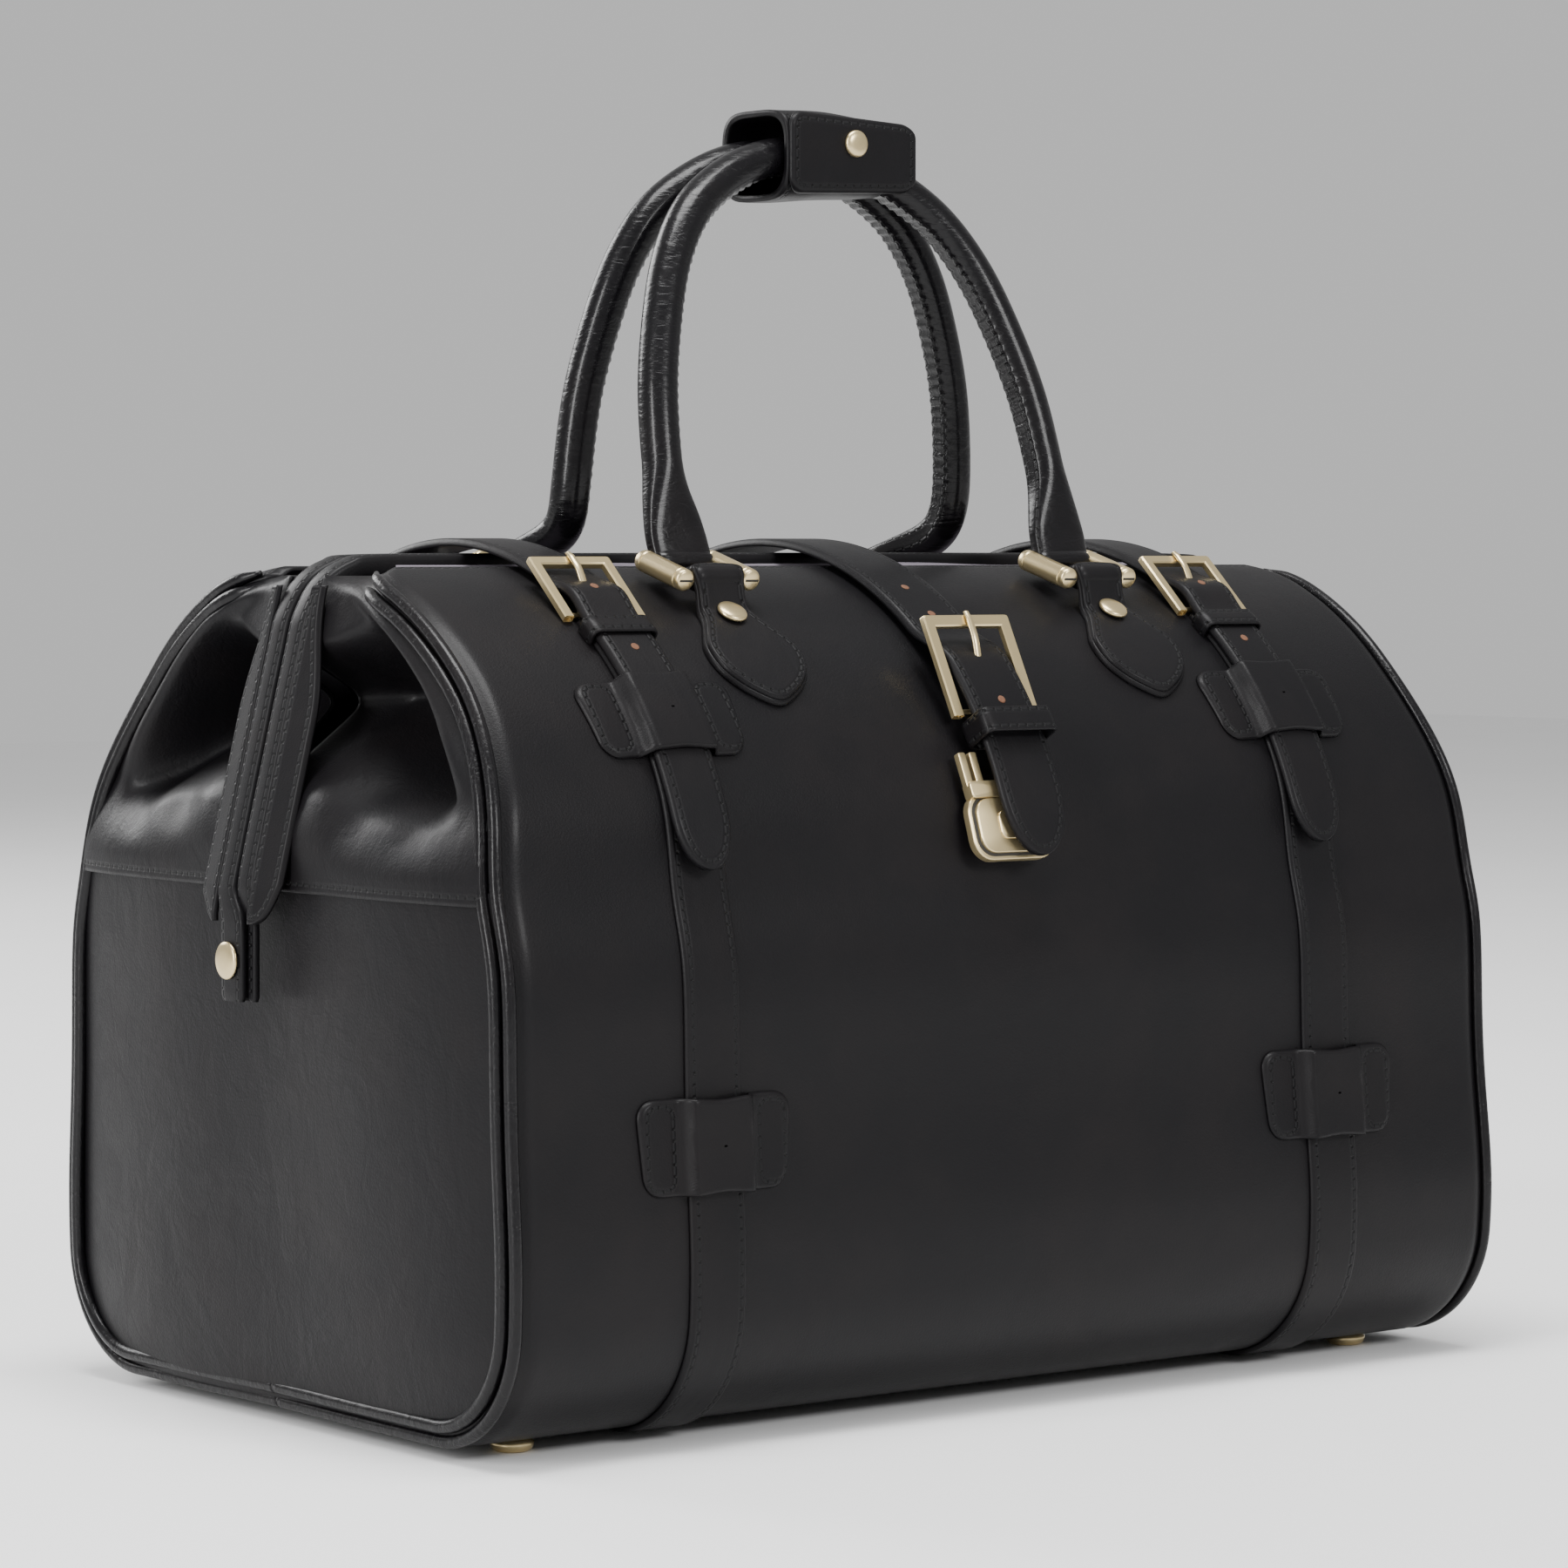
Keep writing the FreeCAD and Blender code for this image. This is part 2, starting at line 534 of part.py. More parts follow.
def centre_strap():
    """The strap from the back to its buckle and hanging tip, and the chape that carries the
    hasp under that tip."""
    half = "centre_width / 2"
    lift_in = f"{STRAP_IN} + centre_lift"
    lift_out = f"{STRAP_OUT} + centre_lift"
    over = sector(STRAP_IN, STRAP_OUT, "centre_step", "strap_root", f"-{half}", half)
    tail = sector(lift_in, lift_out, "centre_tip", "centre_step", f"-{half}", half)
    riser = sector(STRAP_IN, lift_out, "centre_step - 1", "centre_step + 1", f"-{half}", half)
    hole = seated_box(seat("centre_bar", "shell_radius + centre_lift"),
                      "-hole_half", "hole_half", "-0.5", "centre_slot", "chape / 4",
                      "chape + 2 * strap")
    cut(join([over, tail, riser]), hole, "centre_strap")
    sector("shell_radius + hasp_lift + 1", "shell_radius + hasp_lift + 1 + chape",
           "hasp_high + clearance",
           "centre_bar + 0.6", f"-{half} + 2", f"{half} - 2", "centre_chape")
    keeper = sector(f"{lift_in} - clearance - loop_hide", f"{lift_out} + clearance + loop_hide",
                    "centre_bar - 4.5", "centre_bar - 1.8",
                    f"-{half} - loop_side - loop_hide", f"{half} + loop_side + loop_hide")
    throat = sector(f"{lift_in} - clearance", f"{lift_out} + clearance", "centre_bar - 6",
                    "centre_bar", f"-{half} - loop_side", f"{half} + loop_side")
    cut(keeper, throat, "centre_keeper")


# ---------------------------------------------------------------- buckles

def buckle(name, bar, lift, x, length, width, tilt):
    """A rectangular frame that turns on its round bar, and the prong on the same bar. The bar
    runs under the strap and the far side lies over it."""
    centre = f"shell_radius + {lift} + bar_lift + bar_radius"
    place = seat(bar, centre, x, tilt)
    half = f"({width}) / 2"
    turn = math.radians(num(bar))
    out = num(centre)
    axis_y = str(-out * math.cos(turn))
    axis_z = str(num("hinge_height") + out * math.sin(turn))
    low_x, high_x = f"{x} - {half}", f"{x} + {half}"
    legs = [seated_box(place, f"-{half}", f"-{half} + buckle_side", "0", length, "-bar_radius",
                       "bar_radius"),
            seated_box(place, f"{half} - buckle_side", half, "0", length, "-bar_radius",
                       "bar_radius")]
    far = seated_box(place, f"-{half}", half, f"{length} - buckle_far_side", length,
                     "-bar_radius", "buckle_rise")
    rods = [cylinder("bar_radius", low_x, f"{x} - prong_width / 2 - clearance", axis_y, axis_z),
            cylinder("bar_radius", f"{x} + prong_width / 2 + clearance", high_x, axis_y, axis_z)]
    thin = cylinder("axle_radius", low_x, high_x, axis_y, axis_z)
    join(legs + [far, thin] + rods, f"{name}_buckle_frame")
    rise = math.degrees(math.atan2(num("buckle_rise + bar_radius + seat_gap * 2"),
                                   num(f"{length} - buckle_far_side")))
    prong_place = seat(bar, centre, x, f"{tilt} + {rise}")
    tongue = seated_box(prong_place, "-prong_width / 2", "prong_width / 2", "0",
                        f"{length} + 0.5", "-bar_radius", "bar_radius")
    eye = cylinder("bar_radius", f"{x} - prong_width / 2", f"{x} + prong_width / 2", axis_y, axis_z)
    bore = cylinder("axle_radius + rivet_play", f"{x} - prong_width", f"{x} + prong_width",
                    axis_y, axis_z)
    cut(join([tongue, eye]), bore, f"{name}_buckle_prong")


def buckles():
    for side in (-1, 1):
        buckle(side_name(side), "side_bar", "0", f"{side} * strap_spread", "side_buckle_length",
               "strap_width + 2 * side_buckle_play + 2 * buckle_side", "side_tilt")
    buckle("centre", "centre_bar", "centre_lift", "0", "centre_buckle_length",
           "centre_width + 2 * centre_buckle_play + 2 * buckle_side", "centre_tilt")


# ---------------------------------------------------------------- lock and hasp

def lock():
    """A plate and body on the front shoulder, a press piece in its face, and the hasp that
    drops in from above."""
    place = seat("lock_angle", "shell_radius")
    half = "lock_width / 2"
    seated_box(place, f"-{half} + plate_margin", f"{half} - plate_margin",
               "-lock_length / 2 + plate_margin", "lock_length / 2 - plate_margin / 3",
               "clearance", "clearance + lock_plate", "lock_plate_back")
    body = new("PartDesign::Body")
    sketch = body.newObject("Sketcher::SketchObject", "LockOutline")
    plane = [f for f in body.Origin.OriginFeatures if f.Role == "XY_Plane"][0]
    sketch.AttachmentSupport = [(plane, "")]
    sketch.MapMode = "FlatFace"
    half_x, half_y, bend = num(half), num("lock_length / 2"), num("lock_corner")
    nook = bend * (1 - math.sqrt(0.5))

    def spot(x, y):
        return FreeCAD.Vector(x, y, 0)

    for side in (-1, 1):
        sketch.addGeometry(Part.LineSegment(spot(side * half_x, half_y),
                                            spot(side * half_x, bend - half_y)), False)
        sketch.addGeometry(Part.Arc(spot(side * half_x, bend - half_y),
                                    spot(side * (half_x - nook), nook - half_y),
                                    spot(side * (half_x - bend), -half_y)), False)
    for y, reach in ((half_y, half_x), (-half_y, half_x - bend)):
        sketch.addGeometry(Part.LineSegment(spot(-reach, y), spot(reach, y)), False)
    pad = body.newObject("PartDesign::Pad", "LockPad")
    pad.Profile = sketch
    bind(pad, Length="lock_depth")
    body.Placement = place * FreeCAD.Placement(
        FreeCAD.Vector(0, 0, num("clearance + lock_plate")), FreeCAD.Rotation())
    top = "clearance + lock_plate + lock_depth"
    well = seated_box(place, "-button_width / 2 - clearance", "button_width / 2 + clearance",
                      "-button_length / 2 - clearance", "button_length / 2 + clearance",
                      f"{top} - button_travel - button_depth - seat_gap * 2", f"{top} + 1")
    cut(body, well, "lock_body")
    seated_box(place, "-button_width / 2", "button_width / 2", "-button_length / 2",
               "button_length / 2", f"{top} - button_depth", f"{top} + button_proud",
               "lock_button")
    low, high = "shell_radius + hasp_lift", "shell_radius + hasp_lift + hasp_depth"
    reach = "hasp_width / 2"
    clamp = sector(low, high, "hasp_low", "hasp_high + 2", f"-{reach}", reach)
    mouth = sector("shell_radius + hasp_lift + 1 - clearance",
                   "shell_radius + hasp_lift + 1 + chape + clearance",
                   "hasp_high", "hasp_high + 3", "-centre_width / 2", "centre_width / 2")
    cut(clamp, mouth, "lock_hasp")


# ---------------------------------------------------------------- handles, rings and tabs

def ring_bars(face):
    """Where a ring's two bars run, as (y, z): the one in the tab, then the handle's."""
    turn, out = math.radians(num("ring_angle")), num("shell_radius + ring_lift")
    slope, reach = math.radians(num("ring_slope")), num("ring_length")
    tab_bar = (-out * math.cos(turn), num("hinge_height") + out * math.sin(turn))
    handle_bar = (tab_bar[0] + reach * math.cos(slope), tab_bar[1] + reach * math.sin(slope))
    return [(face * y, z) for y, z in (tab_bar, handle_bar)]


def ring_and_tab(face, side):
    """A rectangular ring of two thick legs and two bars, and the sewn tab that holds it."""
    x = f"{side} * handle_spread"
    reach = RING_HALF
    spots = ring_bars(face)
    bars = [cylinder("ring_bar_radius", f"{x} - {reach}", f"{x} + {reach}", str(y), str(z))
            for y, z in spots]
    start, end = (FreeCAD.Vector(0, *spot) for spot in spots)
    way = end - start
    way.normalize()
    start = start - way * num("leg_overhang")
    end = end + way * num("leg_overhang")
    legs = []
    for edge in (-1, 1):
        leg = new("Part::Cylinder")
        bind(leg, Radius="ring_leg_radius", Height="ring_length + 2 * leg_overhang")
        place = start + FreeCAD.Vector(num(x) + edge * num(reach), 0, 0)
        leg.Placement = FreeCAD.Placement(place, FreeCAD.Rotation(FreeCAD.Vector(0, 0, 1), way))
        legs.append(leg)
    ring = join(bars + legs)
    tab_top = "ring_angle + 0.4"
    half = "tab_width / 2"
    flat = sector("shell_radius + seat_gap", "shell_radius + tab",
                  *facing(face, "ring_angle - tab_reach", tab_top), f"{x} - {half}",
                  f"{x} + {half}")
    bar_y, bar_z = (str(value) for value in spots[0])
    roll = cylinder("roll_radius", f"{x} - roll_half_width", f"{x} + roll_half_width", bar_y, bar_z)
    web_place = seat("ring_angle - 0.4" if face > 0 else "180.4 - ring_angle", "shell_radius", x)
    web = seated_box(web_place, "-roll_half_width", "roll_half_width", "-tab / 2", "tab / 2",
                     "1", "ring_lift - ring_bar_radius")
    bore = cylinder("ring_bar_radius + clearance", f"{x} - {half}", f"{x} + {half}", bar_y, bar_z)
    tab = cut(join([flat, web, roll]), bore)
    stud_angle = "ring_angle - tab_rivet_drop" if face > 0 else \
        "180 - ring_angle + tab_rivet_drop"
    stud = seated_pin(seat(stud_angle, "shell_radius", x), "tab_rivet_radius", "tab + seat_gap",
                      "tab + tab_rivet")
    return ring, tab, stud


def handle(name, face):
    """A rolled handle: a tube along leaning legs and a rounded arch, its ends on the rings."""
    lean = "front_lean" if face > 0 else "rear_lean"
    foot = ring_bars(face)[1]
    knee = (num(f"{-face} * {lean}"), num("hinge_height + shell_radius + lean_rise"))
    top = (num(f"{-face} * handle_gap"), num(HANDLE_TOP))

    def on_plane(height):
        share = (height - knee[1]) / (top[1] - knee[1])
        return knee[0] + share * (top[0] - knee[0])

    spread = num("handle_spread")
    shoulder = num("hinge_height + shell_radius + shoulder_rise")
    crown = num(f"{HANDLE_TOP} - arch_drop")
    run = math.dist(foot, knee)
    share = (num("roll_radius") - 1) / run
    start = (foot[0] + (knee[0] - foot[0]) * share, foot[1] + (knee[1] - foot[1]) * share)
    half = [(spread, *start), (spread, *knee), (spread, on_plane(shoulder), shoulder),
            (num("arch_crown"), on_plane(crown), crown), (0, top[0], top[1])]
    points = half + [(-x, y, z) for x, y, z in half[-2::-1]]
    path = rounded_path(points)
    first = path.Edges[0]
    circle = Part.Wire([Part.Circle(first.Vertexes[0].Point, first.tangentAt(0),
                                    num("handle_radius")).toShape()])
    tube = path.makePipeShell([circle], True, False)
    ends = []
    for side in (-1, 1):
        roll = Part.makeCylinder(num("roll_radius"), num("2 * roll_half_width"),
                                 FreeCAD.Vector(side * spread - num("roll_half_width"), *foot),
                                 X_AXIS)
        ends.append(roll)
    solid = tube.fuse(ends)
    for side in (-1, 1):
        bore = Part.makeCylinder(num("ring_bar_radius + clearance"), num("4 * roll_half_width"),
                                 FreeCAD.Vector(side * spread - num("2 * roll_half_width"), *foot),
                                 X_AXIS)
        solid = solid.cut(bore)
    made = new("Part::Feature", f"{name}_handle")
    made.Shape = solid


def carrying():
    for name, face in (("front", 1), ("rear", -1)):
        fittings = zip(*(ring_and_tab(face, side) for side in (-1, 1)))
        for pair, kind in zip(fittings, ("rings", "tabs", "tab_rivets")):
            group(list(pair), f"{name}_{kind}")
        handle(name, face)
    low_z, high_z = f"{HANDLE_TOP} - wrap_height / 2", f"{HANDLE_TOP} + wrap_height / 2"
    outside = box("wrap_shift - wrap_length / 2", "wrap_shift + wrap_length / 2",
                  "-wrap_depth / 2", "wrap_depth / 2", low_z, high_z)
    inside = box("wrap_shift - wrap_length / 2 - 1", "wrap_shift + wrap_length / 2 + 1",
                 "-wrap_depth / 2 + wrap_hide",
                 "wrap_depth / 2 - wrap_hide", f"{low_z} + wrap_hide", f"{high_z} - wrap_hide")
    cut(outside, inside, "handle_wrap")
    snap = new("Part::Cylinder", "wrap_snap")
    snap.Placement = FreeCAD.Placement(FreeCAD.Vector(0, 0, 0), FreeCAD.Rotation(X_AXIS, 90))
    bind(snap, Radius="snap_radius", Height="snap", Placement__Base__x="wrap_shift",
         Placement__Base__y="-wrap_depth / 2 - seat_gap",
         Placement__Base__z=f"{HANDLE_TOP} + snap_rise")


body_panels()
gussets()
pipings()
base()
mouth_frames()
hinge_rivets()
side_straps()
lower_straps()
rear_strap_ends()
centre_strap()
buckles()
lock()
carrying()

doc.recompute()
failed = [o.Label for o in doc.Objects if "Invalid" in o.State or "Error" in o.State]
for label, made in NODES.items():
    if made.Shape.isNull() or not made.Shape.isValid() or not made.Shape.Solids:
        failed.append(label)
if failed:
    raise RuntimeError("these failed: " + ", ".join(sorted(set(failed))))

os.makedirs("parts", exist_ok=True)
for label, made in NODES.items():
    made.Shape.exportStep(os.path.join("parts", label + ".step"))
print(len(NODES), "nodes")
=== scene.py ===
"""A long leather doctor bag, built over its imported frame: shell, mouth, straps, lock and handles."""

import json
import math

import bpy
import numpy as np
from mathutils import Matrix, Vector


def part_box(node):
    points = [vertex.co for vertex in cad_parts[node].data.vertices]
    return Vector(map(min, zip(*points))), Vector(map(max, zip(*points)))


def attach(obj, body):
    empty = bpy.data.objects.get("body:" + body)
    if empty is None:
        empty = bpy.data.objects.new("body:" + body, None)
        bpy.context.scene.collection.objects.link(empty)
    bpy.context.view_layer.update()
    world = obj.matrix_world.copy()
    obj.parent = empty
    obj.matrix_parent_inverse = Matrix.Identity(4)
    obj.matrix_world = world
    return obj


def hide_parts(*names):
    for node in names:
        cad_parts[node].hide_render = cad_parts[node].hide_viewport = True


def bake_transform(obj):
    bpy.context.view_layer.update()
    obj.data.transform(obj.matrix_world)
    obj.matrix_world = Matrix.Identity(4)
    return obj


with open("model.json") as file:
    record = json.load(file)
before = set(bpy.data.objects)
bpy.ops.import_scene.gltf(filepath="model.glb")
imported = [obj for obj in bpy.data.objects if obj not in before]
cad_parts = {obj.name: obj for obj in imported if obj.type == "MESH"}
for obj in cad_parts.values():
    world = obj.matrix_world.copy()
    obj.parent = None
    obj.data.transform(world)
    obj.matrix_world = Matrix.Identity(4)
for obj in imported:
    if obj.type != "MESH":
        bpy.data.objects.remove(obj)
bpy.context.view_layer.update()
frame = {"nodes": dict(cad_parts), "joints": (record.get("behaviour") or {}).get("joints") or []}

bl_info = {
    "name": "Leather Doctor Bag",
    "version": (1, 0, 0),
    "blender": (4, 5, 0),
    "location": "3D View > Sidebar > Doctor Bag",
    "description": "Builds a leather doctor bag over its mechanical frame",
    "category": "Add Mesh",
}

# Lengths below are in millimetres and angles in degrees unless a name says otherwise. The front
# is -Y. Angles on the shoulders are about the mouth's hinge line, from the front up and over.
MM = 0.001
HINGE = frame["joints"][0]["pos_m"][2] / MM
RADIUS = -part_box("front_panel_lower")[0].y / MM
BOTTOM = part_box("front_panel_lower")[0].z / MM
HALF_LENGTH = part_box("front_panel_lower")[1].x / MM
SEAM_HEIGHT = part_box("left_gusset_lower")[1].z / MM
RIM_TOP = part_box("front_frame_cover")[1].z / MM
CORNER = 45.0
FLAT = RADIUS - CORNER
TURN = CORNER * math.pi / 2
WALL = HINGE - BOTTOM - CORNER
MOUTH_EDGE = 76.0
FRAME_EDGE = 10.8
SEAM_LAP = 5.0
# Straps: inside radius about the hinge line, half widths, and the angle of their sewn ends.
STRAP_X = 150.7
STRAP_IN = 152.5
STRAP_THICK = 3.0
SIDE_STRAP, CENTRE_STRAP = 12.5, 15.0
SEWN_END = 160.0
# Handles: each front bar's depth and height, half the width of a ring, and the wrap's two ends.
HANDLE_X = 94.5
HANDLE_RADIUS = 7.75
RING_BAR, HANDLE_BAR = (-76.71, 313.41), (-56.91, 319.09)
RING_ANGLE = 61.35
RING_LEG = 15.4
WRAP = (-16.2, 48.2)
FACES = ((1, "front"), (-1, "rear"))
SIDES = ((-1, "left"), (1, "right"))
FULL_TURN = 2 * math.pi
# Depth in metres, behind any row of stitches, of points that have no sewing.
NO_SEAM = -0.01


# ---------------------------------------------------------------- sizes and colours

class BagShape(bpy.types.PropertyGroup):
    """How the leather sits: its sag, its pleats and its sewing."""

    belly: bpy.props.FloatProperty(
        name="Belly", description="How far the loaded front and back swell low down",
        default=0.0048, unit="LENGTH")
    waist: bpy.props.FloatProperty(
        name="Waist", description="How far the leather sinks where the shoulders begin",
        default=0.0045, unit="LENGTH")
    pleat: bpy.props.FloatProperty(
        name="Pleat depth", description="How deep the end walls fold in beside the frames",
        default=0.045, unit="LENGTH")
    slack: bpy.props.FloatProperty(
        name="Slack", description="Height of the soft waves in the end walls",
        default=0.0011, unit="LENGTH")
    stitch: bpy.props.FloatProperty(
        name="Stitch length", description="From one needle hole to the next",
        default=0.0042, unit="LENGTH")
    inset: bpy.props.FloatProperty(
        name="Stitch inset", description="From a strap's edge to its row of stitches",
        default=0.0030, unit="LENGTH")


class BagFinish(bpy.types.PropertyGroup):
    """Colours and gloss of the leather."""

    hide: bpy.props.FloatVectorProperty(
        name="Hide", description="Dyed smooth hide of the panels and straps",
        subtype="COLOR", size=3, min=0, max=1, default=(0.0026, 0.0023, 0.0030))
    hide_worn: bpy.props.FloatVectorProperty(
        name="Worn hide", description="Where handling has lifted the dye a little",
        subtype="COLOR", size=3, min=0, max=1, default=(0.0066, 0.0050, 0.0052))
    raw_edge: bpy.props.FloatVectorProperty(
        name="Raw edge", description="Undyed leather in strap holes and cut edges",
        subtype="COLOR", size=3, min=0, max=1, default=(0.16, 0.065, 0.03))
    thread: bpy.props.FloatVectorProperty(
        name="Thread", description="Waxed sewing thread",
        subtype="COLOR", size=3, min=0, max=1, default=(0.0045, 0.0045, 0.0050))
    gloss: bpy.props.FloatProperty(
        name="Gloss", description="Polish of the end walls",
        default=0.4, min=0, max=1, subtype="FACTOR")


def shape():
    return bpy.context.scene.bag_shape


def finish():
    return bpy.context.scene.bag_finish


# ---------------------------------------------------------------- materials

class Signal:
    """A socket in a material. Sums and products of signals add the Math nodes they need."""

    def __init__(self, paint, socket):
        self.paint = paint
        self.socket = socket

    def maths(self, operation, *others):
        values = dict(enumerate((self, *others)))
        return self.paint.add("ShaderNodeMath", {"operation": operation}, values)

    def __add__(self, other):
        return self.maths("ADD", other)

    __radd__ = __add__

    def __sub__(self, other):
        return self.maths("SUBTRACT", other)

    def __rsub__(self, other):
        return self.maths("MULTIPLY", -1.0).maths("ADD", other)

    def __mul__(self, other):
        return self.maths("MULTIPLY", other)

    __rmul__ = __mul__

    def __truediv__(self, other):
        return self.maths("DIVIDE", other)

    def __abs__(self):
        return self.maths("ABSOLUTE")

    def ramp(self, low, high):
        """0 below low and 1 above high, with an easy rise between them."""
        return self.paint.add("ShaderNodeMapRange", {"interpolation_type": "SMOOTHSTEP"},
                              {"Value": self, "From Min": low, "From Max": high,
                               "To Min": 0.0, "To Max": 1.0})

    def bell(self, width):
        """1 where the signal is 0, falling to 0 a width away on either side."""
        return 1.0 - abs(self).ramp(0.0, width)


class Paint:
    """One material and the nodes in it."""

    def __init__(self, name):
        self.material = bpy.data.materials.new(name)
        self.material.use_nodes = True
        self.tree = self.material.node_tree
        self.shader = self.tree.nodes["Principled BSDF"]

    def add(self, kind, settings, values, out=0):
        """A node of a kind, its settings, and the values or signals of its sockets."""
        node = self.tree.nodes.new(kind)
        for name, value in settings.items():
            setattr(node, name, value)
        for key, value in values.items():
            self.feed(node.inputs[key], value)
        return Signal(self, node.outputs[out])

    def feed(self, socket, value):
        if isinstance(value, Signal):
            self.tree.links.new(value.socket, socket)
        else:
            socket.default_value = value

    def here(self):
        return self.add("ShaderNodeTexCoord", {}, {}, "Object")

    def seam(self):
        """Length along the nearest row of stitches, and how far inside it a point is."""
        split = self.add("ShaderNodeUVMap", {"uv_map": "seam"}, {})
        parts = self.add("ShaderNodeSeparateXYZ", {}, {0: split})
        return parts, Signal(self, parts.socket.node.outputs[1])

    def stretched(self, scale):
        return self.add("ShaderNodeMapping", {}, {"Vector": self.here(), "Scale": scale})

    def noise(self, scale, detail=2.0, twist=0.0, where=None, rough=0.5):
        return self.add("ShaderNodeTexNoise", {},
                        {"Vector": where or self.here(), "Scale": scale, "Detail": detail,
                         "Roughness": rough, "Distortion": twist})

    def cells(self, scale):
        return self.add("ShaderNodeTexVoronoi", {},
                        {"Vector": self.here(), "Scale": scale}, "Distance")

    def mixed(self, share, first, second):
        """Two colours in a share of the second."""
        return self.add("ShaderNodeMix", {"data_type": "RGBA"}, {0: share, 6: first, 7: second}, 2)

    def bump(self, height):
        """Height is in metres."""
        return self.add("ShaderNodeBump", {}, {"Height": height, "Distance": 1.0,
                                               "Strength": 1.0})

    def finish(self, **sockets):
        for name, value in sockets.items():
            self.feed(self.shader.inputs[name.replace("_", " ").title().replace("Ior", "IOR")], value)
        return self.material


def rgba(colour, share=1.0):
    return (*(min(1.0, c * share) for c in colour), 1.0)


def stitches(paint):
    """Thread mask, needle-hole mask and height of a row of stitches along the seam line. The hole mask
    also marks where painted shade darkens the holes.
    """
    along, inside = paint.seam()
    pitch = shape().stitch
    turn = (along / pitch).maths("FRACT") - 0.5
    row = inside.bell(0.0009)
    thread = row * (1.0 - abs(turn).ramp(0.30, 0.42))
    # The hole mask sinks the needle holes in the bump and also sets where leather() paints shade into
    # them.
    hole = row * abs(turn).ramp(0.36, 0.47)
    height = thread * 0.00032 - inside.bell(0.0016) * 0.00022 - hole * 0.00045
    return thread, hole, height


def leather(name, polish=0.3, grain=0.0009, grain_height=0.00003, crease=0.0, crease_way=None,
            sewn=True, lift=1.0):
    """Dyed hide: pebble grain, slow colour drift, creases along a direction and sewing."""
    paint = Paint(name)
    pebble = paint.cells(1 / grain)
    fine = paint.noise(1 / (grain * 0.45), 3.0)
    cloud = paint.noise(9.0, 4.0, 0.6)
    patch = paint.noise(38.0, 3.0, 0.3)
    height = pebble * grain_height + fine * (grain_height * 0.9) + patch * 0.00016
    wear = (cloud * 0.6 + patch * 0.4).ramp(0.42, 0.74)
    folds = None
    if crease:
        way = paint.stretched(crease_way)
        broad = paint.noise(1.0, 3.5, 1.1, way, 0.55)
        ridge = 1.0 - abs(broad - 0.5).ramp(0.0, 0.14)
        thin = 1.0 - abs(paint.noise(2.7, 3.0, 0.8, way, 0.6) - 0.5).ramp(0.0, 0.10)
        folds = ridge * 0.65 + thin * 0.35
        height = height + folds * (-crease)
    colour = paint.mixed(wear * 0.55, rgba(finish().hide, lift), rgba(finish().hide_worn, lift))
    rough = 0.47 - polish * 0.20 + cloud * 0.10 + pebble * 0.06
    if folds:
        rough = rough + folds * 0.05
    if sewn:
        thread, hole, rise = stitches(paint)
        height = height + rise
        colour = paint.mixed(thread, colour, rgba(finish().thread))
        # Painted shade: a near-black colour in the needle holes stands in for the shade inside them.
        colour = paint.mixed(hole, colour, (0.002, 0.002, 0.002, 1.0))
        rough = rough + thread * 0.12
    return paint.finish(base_color=colour, roughness=rough, normal=paint.bump(height),
                        coat_weight=0.14 * polish, coat_roughness=0.26 - 0.08 * polish,
                        specular_ior_level=0.14)


def raw_hide(name):
    """The bare tan leather inside a punched hole."""
    paint = Paint(name)
    fibre = paint.noise(1500.0, 3.0)
    tone = paint.mixed(fibre, rgba(finish().raw_edge, 0.5), rgba(finish().raw_edge))
    return paint.finish(base_color=tone, roughness=0.85, normal=paint.bump(fibre * 0.0001))


def shadow_gap(name):
    paint = Paint(name)
    grit = paint.noise(800.0, 2.0)
    tone = paint.mixed(grit, (0.006, 0.005, 0.004, 1), (0.02, 0.016, 0.01, 1))
    return paint.finish(base_color=tone, roughness=0.7 + grit * 0.1)


MAKERS = {
    "panel hide": lambda n: leather(n, 0.50, 0.00085, 0.000055, 0.00010, (5.0, 5.0, 4.0)),
    "end hide": lambda n: leather(n, finish().gloss, 0.0010, 0.000060, 0.00012,
                                  (24.0, 20.0, 15.0), lift=1.05),
    "piping hide": lambda n: leather(n, 1.1, 0.0008, 0.000025, 0.00018, (60.0, 60.0, 60.0),
                                     sewn=False),
    "strap hide": lambda n: leather(n, 0.40, 0.00075, 0.000040, 0.00008, (16.0, 9.0, 9.0)),
    "handle hide": lambda n: leather(n, 1.3, 0.0008, 0.000022, 0.00022, (22.0, 22.0, 70.0)),
    "raw hide": raw_hide,
    "shadow gap": shadow_gap,
}


def material(name):
    """The named material: the frame's own for brass, lining and board, and otherwise one made
    here the first time that it is asked for."""
    if name not in bpy.data.materials:
        MAKERS[name](name)
    return bpy.data.materials[name]


# ---------------------------------------------------------------- meshes

def quads(rows, columns, around=False, closed=False):
    """Vertex numbers of the faces of a grid, which may close on itself either way."""
    i = np.arange(rows if closed else rows - 1)[:, None]
    j = np.arange(columns if around else columns - 1)[None, :]
    i2, j2 = (i + 1) % rows, (j + 1) % columns
    corners = [i * columns + j, i * columns + j2, i2 * columns + j2, i2 * columns + j]
    return np.stack([c + 0 * i + 0 * j for c in corners], -1).reshape(-1, 4)


def volume(points, faces):
    """Signed volume under four-cornered faces: a sum of tetrahedra to the middle."""
    p = points - points.mean(0)
    a, b, c, d = (p[faces[:, k]] for k in range(4))
    return (np.cross(a, b) * c).sum() + (np.cross(a, c) * d).sum()


